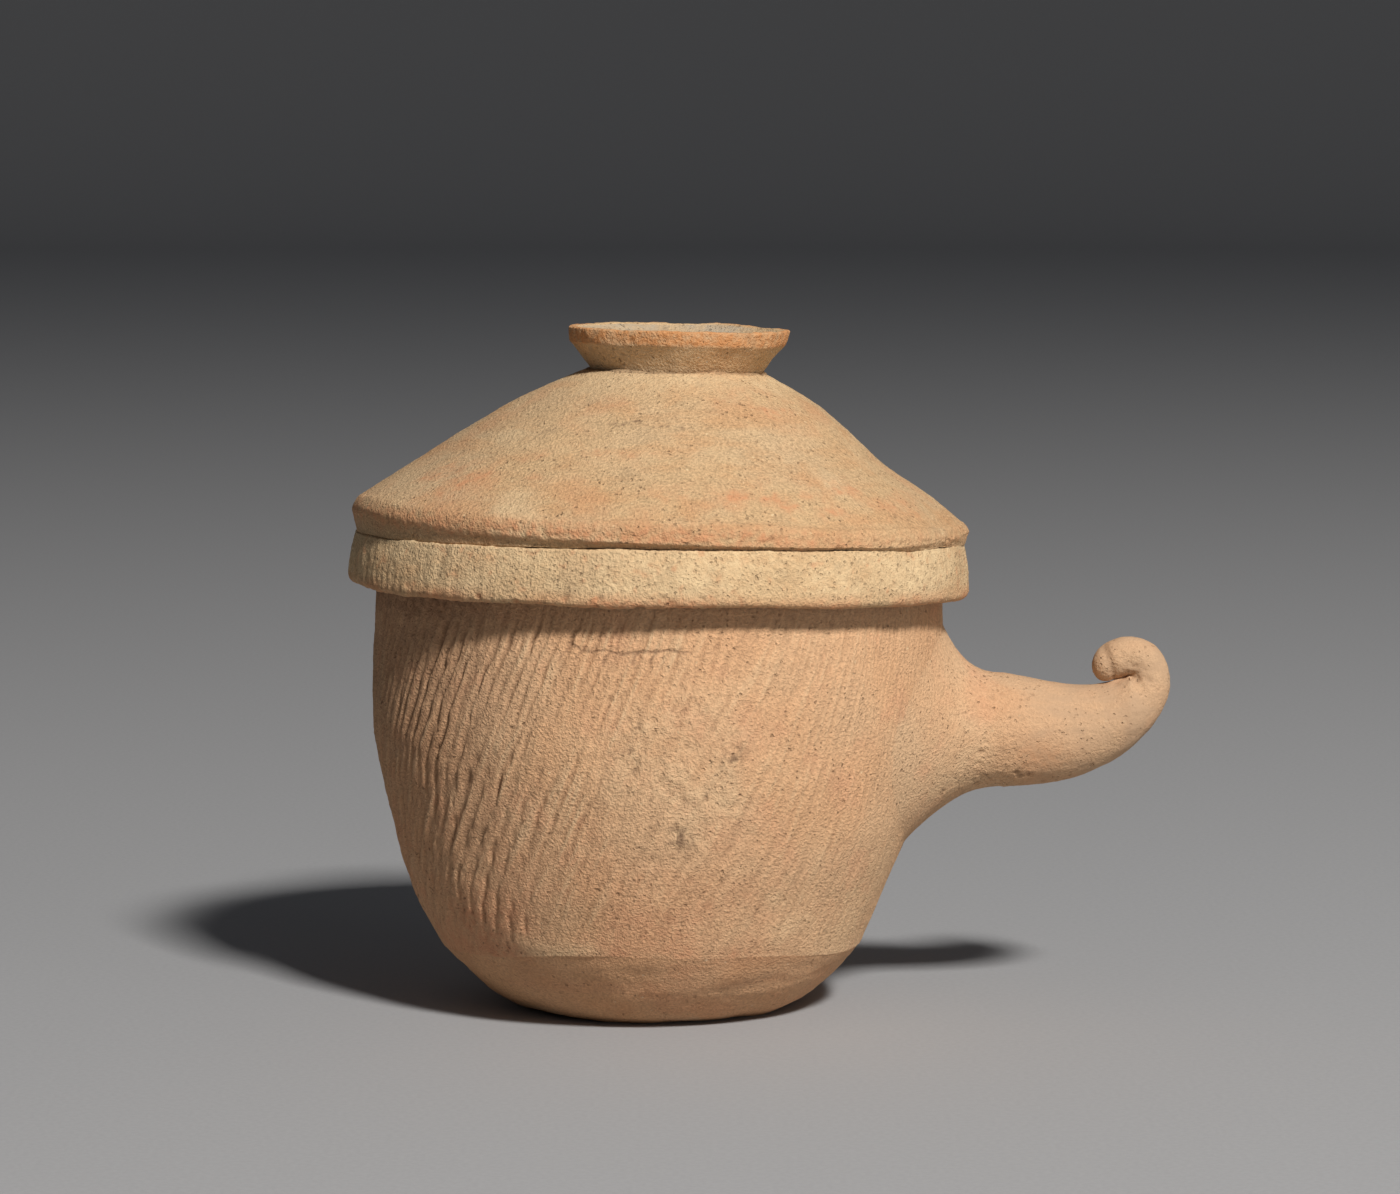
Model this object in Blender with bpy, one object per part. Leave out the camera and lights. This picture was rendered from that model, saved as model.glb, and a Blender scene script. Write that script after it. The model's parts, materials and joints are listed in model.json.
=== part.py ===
"""Lidded earthenware storage jar with a curled horn handle.

The jar is hand-built from separate clay pieces: a trimmed base, a paddled wall, a mouth ring, and a solid
horn handle whose tenon passes through the wall and is luted in place outside and inside. The lid is a low
dome with a skirt luted under its edge and a small cup-shaped knob on top. It lifts off along the tilted
axis of the mouth. The origin is the centre of the resting face, +Z is up and +X points along the handle.
"""

import math

import bmesh
import bpy
from mathutils import Matrix, Vector

# Joints between clay pieces
LUTING_GAP = 0.0003
SEAT_GAP = 0.0003

# Base: a slab whose edge turns up to the ridge where the knife trimming stops
BASE_REST_RADIUS = 0.0260
BASE_TURN_POWER = 0.62
FLOOR_THICKNESS = 0.0080
FLOOR_TURN_POWER = 4.0
RIDGE_RADIUS = 0.0442
RIDGE_HEIGHT = 0.0137
RIDGE_STEP = 0.0006

# Wall and mouth ring share one outer curve that is widest at the belly. The lip dips towards the handle,
# rises at the front and leans a little towards the handle
BELLY_RADIUS = 0.0609
BELLY_HEIGHT = 0.0710
BELLY_POWER = 1.85
WALL_THICKNESS = 0.0060
MOUTH_INSET = 0.0015
MOUTH_RADIUS = BELLY_RADIUS - MOUTH_INSET
MOUTH_JOINT_HEIGHT = 0.0820
LIP_HEIGHT = 0.1057
LIP_ROUND = 0.0018
MOUTH_TILT = math.radians(1.3)
MOUTH_PITCH = math.radians(1.5)
MOUTH_SHIFT = 0.0013

# Lid, measured from the seat plane that rests on the lip
LID_CLEARANCE = 0.0011
SEAT_DEPTH = 0.0050
SEAT_MARGIN = 0.0012
SKIRT_THICKNESS = 0.0036
SKIRT_HEIGHT = 0.0110
SKIRT_FLARE = 0.0013
SKIRT_ROUND = 0.0016
LEDGE_OVERHANG = 0.0009
LEDGE_UNDERCUT = 0.0042
LEDGE_ROUND = 0.0024
LEDGE_INSET = 0.0016
DOME_RISE = 0.0355
DOME_POWER = 1.4
HOLLOW_POWER = 2.0
CROWN_THICKNESS = 0.0060

# Knob: a flared cup. The crown leans towards the handle and carries the knob off centre with it
KNOB_FOOT_RADIUS = 0.0178
KNOB_RIM_RADIUS = 0.0237
KNOB_HEIGHT = 0.0094
KNOB_LIP_HEIGHT = 0.0030
KNOB_LIP_THICKNESS = 0.0022
KNOB_KNEE_SHARE = 0.3
KNOB_FLOOR = 0.0035
KNOB_DISH_POWER = 3.0
KNOB_OFFSET = 0.0025
KNOB_LUTING_WIDTH = 0.0017
KNOB_LUTING_HEIGHT = 0.0012

# Handle: a tapering horn that ends in a rolled curl
HANDLE_HEIGHT = 0.0593
HORN_ROOT_RADIUS = 0.0122
HORN_REBATE = 0.0012
HORN_SHOULDER = 0.0010
HORN_REACH = 0.0419
CURL_RISE = 0.0120
CURL_START_RADIUS = 0.0081
CURL_ROLL_RADIUS = 0.0042
CURL_GAP = 0.00025
CURL_START_ANGLE = math.radians(-90.0)
CURL_END_ANGLE = math.radians(109.0)
CURL_TIGHTENING = math.radians(33.0)
CURL_TIP_LENGTH = 0.0036
CURL_TIP_POWER = 4
CURL_TIP_FLAT = 0.02
TENON_RADIUS = 0.0080
COLLAR_LENGTH = 0.0150
COLLAR_RADIUS = 0.0215
COLLAR_POWER = 2.6
COLLAR_EDGE = 0.0009
INNER_PAD_RADIUS = 0.0140
INNER_PAD_THICKNESS = 0.0040

# Facets
ROUND_STEPS = 60
KNOB_STEPS = 40
HORN_SIDES = 16
CURVE_SPANS = 8
MOUTH_SPANS = 3
BASE_SPANS = 5
FLOOR_SPANS = 4
HOLLOW_SPANS = 6
CURL_SPANS = 16
CURL_TIP_SHARES = (0.4, 0.7, 0.88, 0.97, 1.0)
TANGENT_STEP = 0.01

# Fired clay
CLAY_ROUGHNESS = 0.92
WALL_COLOUR = (0.56, 0.30, 0.16)
BASE_COLOUR = (0.48, 0.26, 0.15)
HORN_COLOUR = (0.58, 0.33, 0.18)
LID_COLOUR = (0.60, 0.39, 0.22)
KNOB_COLOUR = (0.58, 0.34, 0.19)
SHARP_ANGLE = math.radians(40.0)
MERGE_DISTANCE = 1e-6


def spread(count):
    """Evenly spaced shares from 0 to 1, both ends included."""
    return [index / count for index in range(count + 1)]


def arc(centre_r, centre_z, radius_r, radius_z, start, end, count=3):
    """Points on an elliptical arc in the profile plane, angles in degrees from the outward direction."""
    points = []
    for share in spread(count):
        angle = math.radians(start + (end - start) * share)
        points.append((centre_r + radius_r * math.cos(angle), centre_z + radius_z * math.sin(angle)))
    return points


def clear_scene():
    """Remove every object that the file opened with."""
    for old in list(bpy.data.objects):
        bpy.data.objects.remove(old)


def clay(name, colour):
    """A matt fired-clay material of one colour."""
    material = bpy.data.materials.new(name)
    material.use_nodes = True
    shader = material.node_tree.nodes["Principled BSDF"]
    shader.inputs["Base Color"].default_value = (*colour, 1.0)
    shader.inputs["Roughness"].default_value = CLAY_ROUGHNESS
    shader.inputs["Metallic"].default_value = 0.0
    return material


def add_object(name, mesh_builder, colour=None):
    """Turn a finished bmesh into a smooth-shaded object of fired clay or, with no colour, a hidden cutter."""
    bmesh.ops.recalc_face_normals(mesh_builder, faces=mesh_builder.faces)
    mesh = bpy.data.meshes.new(name)
    mesh_builder.to_mesh(mesh)
    mesh_builder.free()
    mesh.shade_smooth()
    mesh.set_sharp_from_angle(angle=SHARP_ANGLE)
    made = bpy.data.objects.new(name, mesh)
    bpy.context.scene.collection.objects.link(made)
    if colour:
        mesh.materials.append(clay(f"{name}_clay", colour))
    else:
        made.hide_render = True
        made.display_type = "WIRE"
    return made


def turned(profile, closed=False, steps=ROUND_STEPS):
    """Spin a profile of (radius, height) points about Z: a closed ring, or a solid that meets the axis."""
    builder = bmesh.new()
    verts = [builder.verts.new((radius, 0.0, height)) for radius, height in profile]
    pairs = list(zip(verts, verts[1:]))
    if closed:
        pairs.append((verts[-1], verts[0]))
    edges = [builder.edges.new(pair) for pair in pairs]
    bmesh.ops.spin(
        builder, geom=verts + edges, cent=(0, 0, 0), axis=(0, 0, 1), dvec=(0, 0, 0),
        angle=2 * math.pi, steps=steps, use_merge=True,
    )
    bmesh.ops.remove_doubles(builder, verts=builder.verts, dist=MERGE_DISTANCE)
    return builder


def swept(stations, sides=HORN_SIDES):
    """Carry a circle along stations of (x, z, radius) in the XZ plane and cap both ends."""
    builder = bmesh.new()
    rings = []
    for index, (x, z, radius) in enumerate(stations):
        before = stations[max(index - 1, 0)]
        after = stations[min(index + 1, len(stations) - 1)]
        along = Vector((after[0] - before[0], 0.0, after[1] - before[1])).normalized()
        across = along.cross(Vector((0.0, 1.0, 0.0)))
        ring = []
        for side in range(sides):
            angle = 2 * math.pi * side / sides
            offset = across * math.cos(angle) + Vector((0.0, math.sin(angle), 0.0))
            ring.append(builder.verts.new(Vector((x, 0.0, z)) + radius * offset))
        rings.append(ring)
    for ring, following in zip(rings, rings[1:]):
        for side in range(sides):
            other = (side + 1) % sides
            builder.faces.new((ring[side], ring[other], following[other], following[side]))
    builder.faces.new(rings[0])
    builder.faces.new(rings[-1])
    return builder


def cut(target, cutter, operation="DIFFERENCE"):
    """Add an exact Boolean to the target."""
    modifier = target.modifiers.new(f"{operation.lower()}_{cutter.name}", "BOOLEAN")
    modifier.operation = operation
    modifier.solver = "EXACT"
    modifier.object = cutter


def base_radius(height):
    """Outer radius of the trimmed base, which turns up from the table to the ridge."""
    share = (height / RIDGE_HEIGHT) ** BASE_TURN_POWER
    return BASE_REST_RADIUS + (RIDGE_RADIUS - BASE_REST_RADIUS) * share


def wall_radius(height):
    """Outer radius of the wall and the mouth ring at a height."""
    if height < BELLY_HEIGHT:
        foot = RIDGE_RADIUS + RIDGE_STEP
        share = (BELLY_HEIGHT - height) / (BELLY_HEIGHT - RIDGE_HEIGHT)
        return BELLY_RADIUS - (BELLY_RADIUS - foot) * share**BELLY_POWER
    share = (height - BELLY_HEIGHT) / (LIP_HEIGHT - BELLY_HEIGHT)
    return BELLY_RADIUS - (BELLY_RADIUS - MOUTH_RADIUS) * share**2


def wall_heights(low, high, spans=CURVE_SPANS):
    """Heights at which the wall curve is sampled between two joints."""
    return [low + (high - low) * share for share in spread(spans)]


def joint_heights():
    """Heights of the wall's rings of facets, from the base joint to the mouth joint."""
    return wall_heights(RIDGE_HEIGHT + LUTING_GAP, MOUTH_JOINT_HEIGHT)


def build_base():
    """The slab that the jar stands on, dished inside."""
    outer = []
    for share in spread(BASE_SPANS):
        height = RIDGE_HEIGHT * share**2
        outer.append((base_radius(height), height))
    joint_radius = wall_radius(RIDGE_HEIGHT) - WALL_THICKNESS
    floor = []
    for share in reversed(spread(FLOOR_SPANS)):
        height = FLOOR_THICKNESS + (RIDGE_HEIGHT - FLOOR_THICKNESS) * share**FLOOR_TURN_POWER
        floor.append((joint_radius * share, height))
    return add_object("base_slab", turned([(0.0, 0.0), *outer, *floor]), BASE_COLOUR)


def build_wall(tenon_hole):
    """The paddled wall, with the hole that the handle's tenon goes through."""
    outer = [(wall_radius(height), height) for height in joint_heights()]
    inner = [(radius - WALL_THICKNESS, height) for radius, height in reversed(outer)]
    wall = add_object("jar_wall", turned(outer + inner, closed=True), WALL_COLOUR)
    cut(wall, tenon_hole)
    return wall


def build_mouth():
    """The mouth ring: level where it meets the wall, tilted at the lip that carries the lid."""
    low = MOUTH_JOINT_HEIGHT + LUTING_GAP
    round_z = LIP_HEIGHT - LIP_ROUND
    outer = [(wall_radius(height), height) for height in wall_heights(low, round_z, MOUTH_SPANS)]
    inner = [(radius - WALL_THICKNESS, height) for radius, height in reversed(outer)]
    outer_arc = arc(outer[-1][0] - LIP_ROUND, round_z, LIP_ROUND, LIP_ROUND, 0.0, 90.0)
    inner_arc = arc(inner[0][0] + LIP_ROUND, round_z, LIP_ROUND, LIP_ROUND, 90.0, 180.0)
    builder = turned(outer[:-1] + outer_arc + inner_arc + inner[1:], closed=True)
    for vert in builder.verts:
        share = (vert.co.z - low) / (LIP_HEIGHT - low)
        dip = vert.co.x * math.tan(MOUTH_TILT) + vert.co.y * math.tan(MOUTH_PITCH) / math.cos(MOUTH_TILT)
        vert.co.z -= dip * share
        vert.co.x += MOUTH_SHIFT * share
    return add_object("mouth_ring", builder, WALL_COLOUR)


def skirt_inner_radius():
    """Bore of the skirt: clear of the mouth ring from the lip down to the skirt's lower edge."""
    lower_edge = LIP_HEIGHT - SEAT_DEPTH - SKIRT_HEIGHT
    return max(wall_radius(lower_edge), MOUTH_RADIUS) + LID_CLEARANCE


def crease_radius():
    """Radius of the crease where the skirt meets the underside of the ledge."""
    return skirt_inner_radius() + SKIRT_THICKNESS


def ledge_radius():
    """Radius of the lid's widest edge above the skirt."""
    return crease_radius() + LEDGE_OVERHANG


def dome_height(radius):
    """Height of the lid's outer surface above the seat plane."""
    edge = ledge_radius() - LEDGE_INSET
    start = LEDGE_UNDERCUT + LEDGE_ROUND - SEAT_DEPTH
    return start + DOME_RISE * (1.0 - (radius / edge) ** DOME_POWER)


def knob_seat_radius():
    """Radius of the flat on the crown: wide enough for the knob and its luting."""
    return KNOB_FOOT_RADIUS + KNOB_LUTING_WIDTH


def build_dome(seat):
    """The lid's dome: flat knob seat, sloping crown, rounded ledge, and a recess that takes the lip."""
    edge = ledge_radius()
    top_radius = knob_seat_radius()
    top = dome_height(top_radius)
    slope_radii = [top_radius + (edge - LEDGE_INSET - top_radius) * share for share in spread(CURVE_SPANS)]
    slope = [(radius, dome_height(radius)) for radius in slope_radii]
    nose_z = LEDGE_UNDERCUT - SEAT_DEPTH
    upper_nose = arc(edge - LEDGE_INSET, nose_z, LEDGE_INSET, LEDGE_ROUND, 90.0, 0.0)
    lower_nose = arc(edge - LEDGE_OVERHANG, nose_z, LEDGE_OVERHANG, LEDGE_UNDERCUT, 0.0, -90.0)
    bore = skirt_inner_radius()
    hollow_radius = MOUTH_RADIUS - WALL_THICKNESS - SEAT_MARGIN
    recess = [(bore, -SEAT_DEPTH), (bore, 0.0)]
    hollow = []
    for share in reversed(spread(HOLLOW_SPANS)):
        height = (top - CROWN_THICKNESS) * (1.0 - share**HOLLOW_POWER)
        hollow.append((hollow_radius * share, height))
    profile = [(0.0, top), *slope, *upper_nose[1:], *lower_nose[1:], *recess, *hollow]
    builder = turned(profile)
    for vert in builder.verts:
        vert.co.x += KNOB_OFFSET * max(vert.co.z, 0.0) / top
    dome = add_object("lid_dome", builder, LID_COLOUR)
    dome.parent = seat
    return dome


def build_skirt(seat):
    """The strip luted under the ledge, flaring to a rounded lower edge."""
    top = -SEAT_DEPTH - LUTING_GAP
    bottom = -SEAT_DEPTH - SKIRT_HEIGHT
    bore = skirt_inner_radius()
    widest = crease_radius() + SKIRT_FLARE
    outer_arc = arc(widest - SKIRT_ROUND, bottom + SKIRT_ROUND, SKIRT_ROUND, SKIRT_ROUND, 0.0, -90.0)
    inner_arc = arc(bore + SKIRT_ROUND, bottom + SKIRT_ROUND, SKIRT_ROUND, SKIRT_ROUND, -90.0, -180.0)
    profile = [(bore, top), (crease_radius(), top), *outer_arc, *inner_arc]
    skirt = add_object("lid_skirt", turned(profile, closed=True), LID_COLOUR)
    skirt.parent = seat
    return skirt


def knob_radius(height):
    """Outer radius of the knob's flare above its foot."""
    flare = KNOB_HEIGHT - KNOB_LIP_HEIGHT
    return KNOB_FOOT_RADIUS + (KNOB_RIM_RADIUS - KNOB_FOOT_RADIUS) * min(height / flare, 1.0)


def build_knob(seat):
    """The cup-shaped knob: flared side, blunt lip and a shallow dish."""
    dish_radius = KNOB_RIM_RADIUS - KNOB_LIP_THICKNESS
    knee = KNOB_HEIGHT * KNOB_KNEE_SHARE
    flare = [(knob_radius(0.0), 0.0), (knob_radius(knee), knee)]
    lip_radius = KNOB_LIP_HEIGHT / 2
    lip = arc(KNOB_RIM_RADIUS - lip_radius, KNOB_HEIGHT - lip_radius, lip_radius, lip_radius, -45.0, 90.0)
    dish = []
    for share in reversed(spread(HOLLOW_SPANS)):
        height = KNOB_FLOOR + (KNOB_HEIGHT - KNOB_FLOOR) * share**KNOB_DISH_POWER
        dish.append((dish_radius * share, height))
    knob = add_object("knob", turned([(0.0, 0.0), *flare, *lip, *dish], steps=KNOB_STEPS), KNOB_COLOUR)
    knob.parent = seat
    knob.location = (KNOB_OFFSET, 0.0, dome_height(knob_seat_radius()) + LUTING_GAP)
    return knob


def build_knob_luting(seat):
    """The coil of clay smeared round the knob's foot."""
    profile = [
        (knob_radius(0.0) + LUTING_GAP, 0.0),
        (knob_radius(0.0) + KNOB_LUTING_WIDTH, 0.0),
        (knob_radius(KNOB_LUTING_HEIGHT) + LUTING_GAP + KNOB_LUTING_HEIGHT / 2, KNOB_LUTING_HEIGHT),
        (knob_radius(KNOB_LUTING_HEIGHT) + LUTING_GAP, KNOB_LUTING_HEIGHT),
    ]
    luting = add_object("knob_luting", turned(profile, closed=True, steps=KNOB_STEPS), LID_COLOUR)
    luting.parent = seat
    luting.location = (KNOB_OFFSET, 0.0, dome_height(knob_seat_radius()) + LUTING_GAP)
    return luting


def curl_radius(angle):
    """Distance of the handle's centreline from the middle of the curl, closing in as it rolls up."""
    rolled = math.exp(-(angle - CURL_START_ANGLE) / CURL_TIGHTENING)
    return CURL_ROLL_RADIUS + (CURL_START_RADIUS - CURL_ROLL_RADIUS) * rolled


def curl_point(angle):
    """Centreline point of the curl at an angle about its middle, with the clay's radius there."""
    middle_x = wall_radius(HANDLE_HEIGHT) + HORN_REACH
    middle_z = HANDLE_HEIGHT + CURL_RISE
    distance = curl_radius(angle)
    return (
        middle_x + distance * math.cos(angle),
        middle_z + distance * math.sin(angle),
        distance - CURL_GAP,
    )


def direction(start, end):
    """Unit vector from one station to another in the XZ plane."""
    return Vector((end[0] - start[0], end[1] - start[1])).normalized()


def horn_stations():
    """Stations of the handle from its root to the tip: straight root, tapering horn, curl, blunt tip."""
    root_x = wall_radius(HANDLE_HEIGHT)
    neck_x = root_x + COLLAR_LENGTH
    shoulder_x = neck_x + LUTING_GAP
    rebated = HORN_ROOT_RADIUS - HORN_REBATE
    stations = [
        (root_x - COLLAR_LENGTH, HANDLE_HEIGHT, rebated),
        (neck_x, HANDLE_HEIGHT, rebated),
        (shoulder_x, HANDLE_HEIGHT, HORN_ROOT_RADIUS),
        (shoulder_x + HORN_SHOULDER, HANDLE_HEIGHT, HORN_ROOT_RADIUS),
    ]
    curl_start = curl_point(CURL_START_ANGLE)
    leaving = direction(curl_start, curl_point(CURL_START_ANGLE + TANGENT_STEP))
    start = Vector(stations[-1][:2])
    end = Vector(curl_start[:2])
    chord = (end - start).length
    for share in spread(CURVE_SPANS)[1:-1]:
        weight = share * share * (3.0 - 2.0 * share)
        place = start * (1.0 - weight) + end * weight
        place += Vector((chord, 0.0)) * share * (1.0 - share) ** 2
        place -= leaving * chord * share * share * (1.0 - share)
        radius = HORN_ROOT_RADIUS + (curl_start[2] - HORN_ROOT_RADIUS) * share
        stations.append((place.x, place.y, radius))
    for share in spread(CURL_SPANS):
        stations.append(curl_point(CURL_START_ANGLE + (CURL_END_ANGLE - CURL_START_ANGLE) * share))
    heading = direction(stations[-2], stations[-1])
    last = stations[-1]
    for share in CURL_TIP_SHARES:
        place = Vector(last[:2]) + heading * (CURL_TIP_LENGTH + last[2]) * share
        blunt = max(1.0 - share**CURL_TIP_POWER, CURL_TIP_FLAT)
        stations.append((place.x, place.y, last[2] * math.sqrt(blunt)))
    return stations


def along_x(builder, height):
    """Turn a shape made about Z so that its axis points along +X at a height."""
    placing = Matrix.Translation((0.0, 0.0, height)) @ Matrix.Rotation(math.pi / 2, 4, "Y")
    bmesh.ops.transform(builder, matrix=placing, verts=builder.verts)
    return builder


def build_envelope():
    """Cutter: everything inside the outer face of the wall and the mouth ring, plus the luting gap."""
    side = [(wall_radius(height) + LUTING_GAP, height) for height in joint_heights()]
    for share in spread(MOUTH_SPANS)[1:]:
        height = MOUTH_JOINT_HEIGHT + (LIP_HEIGHT - MOUTH_JOINT_HEIGHT) * share
        side.append((wall_radius(height) + LUTING_GAP + MOUTH_SHIFT * share, height))
    return add_object("wall_envelope", turned([(0.0, side[0][1]), *side, (0.0, side[-1][1])]))


def build_room(name, gap):
    """Cutter: the room inside the wall, less a gap to the wall's inner face."""
    heights = joint_heights()
    side = [(wall_radius(height) - WALL_THICKNESS - gap, height) for height in heights]
    return add_object(name, turned([(0.0, heights[0]), *side, (0.0, heights[-1])]))


def build_tenon(name, radius, start, end):
    """A plain peg along +X at the handle's height, used as the tenon and as the cutter of its hole."""
    builder = turned([(0.0, start), (radius, start), (radius, end), (0.0, end)], steps=HORN_SIDES)
    return add_object(name, along_x(builder, HANDLE_HEIGHT))


def build_handle(envelope, tenon, room):
    """The horn, saddled to the wall, with a tenon through it that ends flush with the inner face."""
    handle = add_object("handle", swept(horn_stations()), HORN_COLOUR)
    cut(handle, envelope)
    cut(handle, tenon, "UNION")
    cut(handle, room)
    return handle


def build_collar(envelope):
    """The clay smoothed round the horn's root in a flare that dies away on the wall."""
    root_x = wall_radius(HANDLE_HEIGHT)
    bore = HORN_ROOT_RADIUS - HORN_REBATE + LUTING_GAP
    outer = []
    for share in spread(CURVE_SPANS):
        flare = (COLLAR_RADIUS - HORN_ROOT_RADIUS) * (1.0 - share) ** COLLAR_POWER
        outer.append((HORN_ROOT_RADIUS + flare, root_x + COLLAR_EDGE + (COLLAR_LENGTH - COLLAR_EDGE) * share))
    back = root_x - COLLAR_LENGTH
    profile = [(bore, back), (COLLAR_RADIUS, back), *outer, (bore, root_x + COLLAR_LENGTH)]
    builder = along_x(turned(profile, closed=True, steps=2 * HORN_SIDES), HANDLE_HEIGHT)
    for vert in builder.verts:
        wall_x = math.sqrt(wall_radius(vert.co.z) ** 2 - vert.co.y**2)
        share = min(max((vert.co.x - root_x) / COLLAR_LENGTH, 0.0), 1.0)
        vert.co.x += (wall_x - root_x) * (1.0 - share)
    collar = add_object("handle_collar", builder, HORN_COLOUR)
    cut(collar, envelope)
    return collar


def build_inner_pad(room):
    """The pat of clay pressed over the tenon's end inside the jar."""
    builder = bmesh.new()
    bmesh.ops.create_uvsphere(builder, u_segments=HORN_SIDES, v_segments=CURVE_SPANS, radius=1.0)
    inner_x = wall_radius(HANDLE_HEIGHT) - WALL_THICKNESS
    size = Matrix.Diagonal((INNER_PAD_THICKNESS, INNER_PAD_RADIUS, INNER_PAD_RADIUS, 1.0))
    placing = Matrix.Translation((inner_x, 0.0, HANDLE_HEIGHT)) @ size
    bmesh.ops.transform(builder, matrix=placing, verts=builder.verts)
    pad = add_object("handle_inner_pad", builder, WALL_COLOUR)
    cut(pad, room, "INTERSECT")
    return pad


def build_lid_seat():
    """The empty on the lid's lifting axis, at the lip and tilted with the mouth."""
    seat = bpy.data.objects.new("lid_seat", None)
    bpy.context.scene.collection.objects.link(seat)
    seat.location = (MOUTH_SHIFT, 0.0, LIP_HEIGHT + SEAT_GAP)
    seat.rotation_euler = (-MOUTH_PITCH, MOUTH_TILT, 0.0)
    return seat


def main():
    """Build the cutters, the jar and then the lid on its lifting axis."""
    clear_scene()
    outer_x = wall_radius(HANDLE_HEIGHT)
    inside_x = outer_x - WALL_THICKNESS - COLLAR_LENGTH
    envelope = build_envelope()
    room = build_room("room", 0.0)
    pad_room = build_room("pad_room", LUTING_GAP)
    tenon = build_tenon("tenon", TENON_RADIUS, inside_x, outer_x + COLLAR_LENGTH / 2)
    hole = build_tenon("tenon_hole", TENON_RADIUS + LUTING_GAP, inside_x, outer_x + COLLAR_LENGTH)

    build_base()
    build_wall(hole)
    build_mouth()
    build_handle(envelope, tenon, room)
    build_collar(envelope)
    build_inner_pad(pad_room)

    seat = build_lid_seat()
    build_dome(seat)
    build_skirt(seat)
    build_knob(seat)
    build_knob_luting(seat)


main()
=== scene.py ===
"""Looks of a hand-built earthenware storage jar with a curled horn handle and a lift-off lid.

Each clay piece is a surface worked out on a grid of two parameters, then pressed, wiped, chipped and worn,
and dressed in a procedural fired-clay finish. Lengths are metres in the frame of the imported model: +Z is up,
+X runs along the handle and the front faces -Y.
"""
import itertools
import json
import logging
import math
from dataclasses import dataclass, field
from enum import Enum

import bpy
import numpy as np
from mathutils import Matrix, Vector


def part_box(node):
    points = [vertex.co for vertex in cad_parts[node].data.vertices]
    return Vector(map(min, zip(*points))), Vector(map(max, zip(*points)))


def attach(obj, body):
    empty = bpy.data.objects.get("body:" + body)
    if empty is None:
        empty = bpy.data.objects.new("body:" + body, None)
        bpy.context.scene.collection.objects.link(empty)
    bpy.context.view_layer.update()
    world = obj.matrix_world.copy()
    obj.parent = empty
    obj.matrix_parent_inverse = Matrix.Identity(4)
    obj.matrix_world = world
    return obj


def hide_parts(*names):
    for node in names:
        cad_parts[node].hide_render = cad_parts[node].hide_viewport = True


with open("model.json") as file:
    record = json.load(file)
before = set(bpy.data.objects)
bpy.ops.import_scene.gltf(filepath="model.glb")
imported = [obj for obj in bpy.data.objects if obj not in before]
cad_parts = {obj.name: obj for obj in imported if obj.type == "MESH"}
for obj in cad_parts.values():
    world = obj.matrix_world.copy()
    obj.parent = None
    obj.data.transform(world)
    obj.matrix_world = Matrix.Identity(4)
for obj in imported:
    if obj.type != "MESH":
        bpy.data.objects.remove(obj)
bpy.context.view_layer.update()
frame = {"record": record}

LOG = logging.getLogger("jar")
MM = 0.001
FULL_TURN = 2.0 * math.pi
FRONT = -0.5 * math.pi
SIDE_POWER = 1.5
TINY = 1e-15
JOINT = frame["record"]["behaviour"]["joints"][0]
# A band is where an easing starts and where it is complete. A section is radius and height along a profile.
Triple = tuple[float, float, float]
Colour = Triple
Band = tuple[float, float]
Grid = np.ndarray
Section = tuple[Grid | float, Grid | float]
Socket = bpy.types.NodeSocket


class Mark(Enum):
    """Per-point marks that the finishes read from the mesh. The hollow mark is painted shade in hollows and
    recesses; the worn mark also paints a shade tint, the stain mark also paints shade and a shadow band, and
    the bare mark also paints light and highlights.
    """

    HOLLOW = "hollow"
    WORN_AND_SHADE_TINT = "worn"
    BARE_AND_LIGHT = "bare"
    STAIN_AND_SHADE = "stain"
    RUBBED = "rubbed"


class Body(Enum):
    """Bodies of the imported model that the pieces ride."""

    JAR = "jar"
    LID = "lid"


class Slot(Enum):
    """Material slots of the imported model."""

    WALL = "wall_clay"
    BASE = "base_clay"
    HORN = "horn_clay"
    LID = "lid_clay"
    KNOB = "knob_clay"


def ease(value: Grid, low: float, high: float) -> Grid:
    """Cubic smooth step that is 0 at the low end and 1 at the high end, in either order."""
    share = np.clip((value - low) / (high - low), 0.0, 1.0)
    return share * share * (3.0 - 2.0 * share)


def spot(across: Grid, up: Grid, wide: float, tall: float) -> Grid:
    """Soft oval patch of a half width and a half height: an exponential that is 1 in the middle."""
    return np.exp(-((across / wide) ** 2) - (up / tall) ** 2)


def bell(value: Grid, middle: float, width: Grid | float) -> Grid:
    """Soft bump, 1 at its middle: the exponential of minus the squared distance over the width."""
    return np.exp(-(((value - middle) / width) ** 2))


def waves(angle: Grid, parts: tuple[Triple, ...]) -> Grid:
    """Sum of sine waves round a piece, each with a height, a count in a full turn and a start."""
    return sum(height * np.sin(count * angle + start) for height, count, start in parts)


def two_sides(angle: Grid) -> tuple[Grid, Grid]:
    """Shares of two opposite sides: powers of the positive and the negative part of the sine."""
    across = np.sin(angle)
    return np.clip(across, 0.0, 1.0) ** SIDE_POWER, np.clip(-across, 0.0, 1.0) ** SIDE_POWER


def turn_from_front(angle: Grid) -> Grid:
    """Angle from the front, from minus half a turn to half a turn, positive towards the handle."""
    return (angle - FRONT + math.pi) % FULL_TURN - math.pi


def round_angles(columns: int, crowding: float = 0.0) -> Grid:
    """One row of angles round a piece, closer than even at the front by the crowding's share."""
    even = np.arange(columns) * FULL_TURN / columns
    return (even - crowding * np.cos(even))[None, :]


def spread(start: float, end: float, rows: int) -> Grid:
    """One column of evenly spaced numbers along a profile."""
    return np.linspace(start, end, rows)[:, None]


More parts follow.
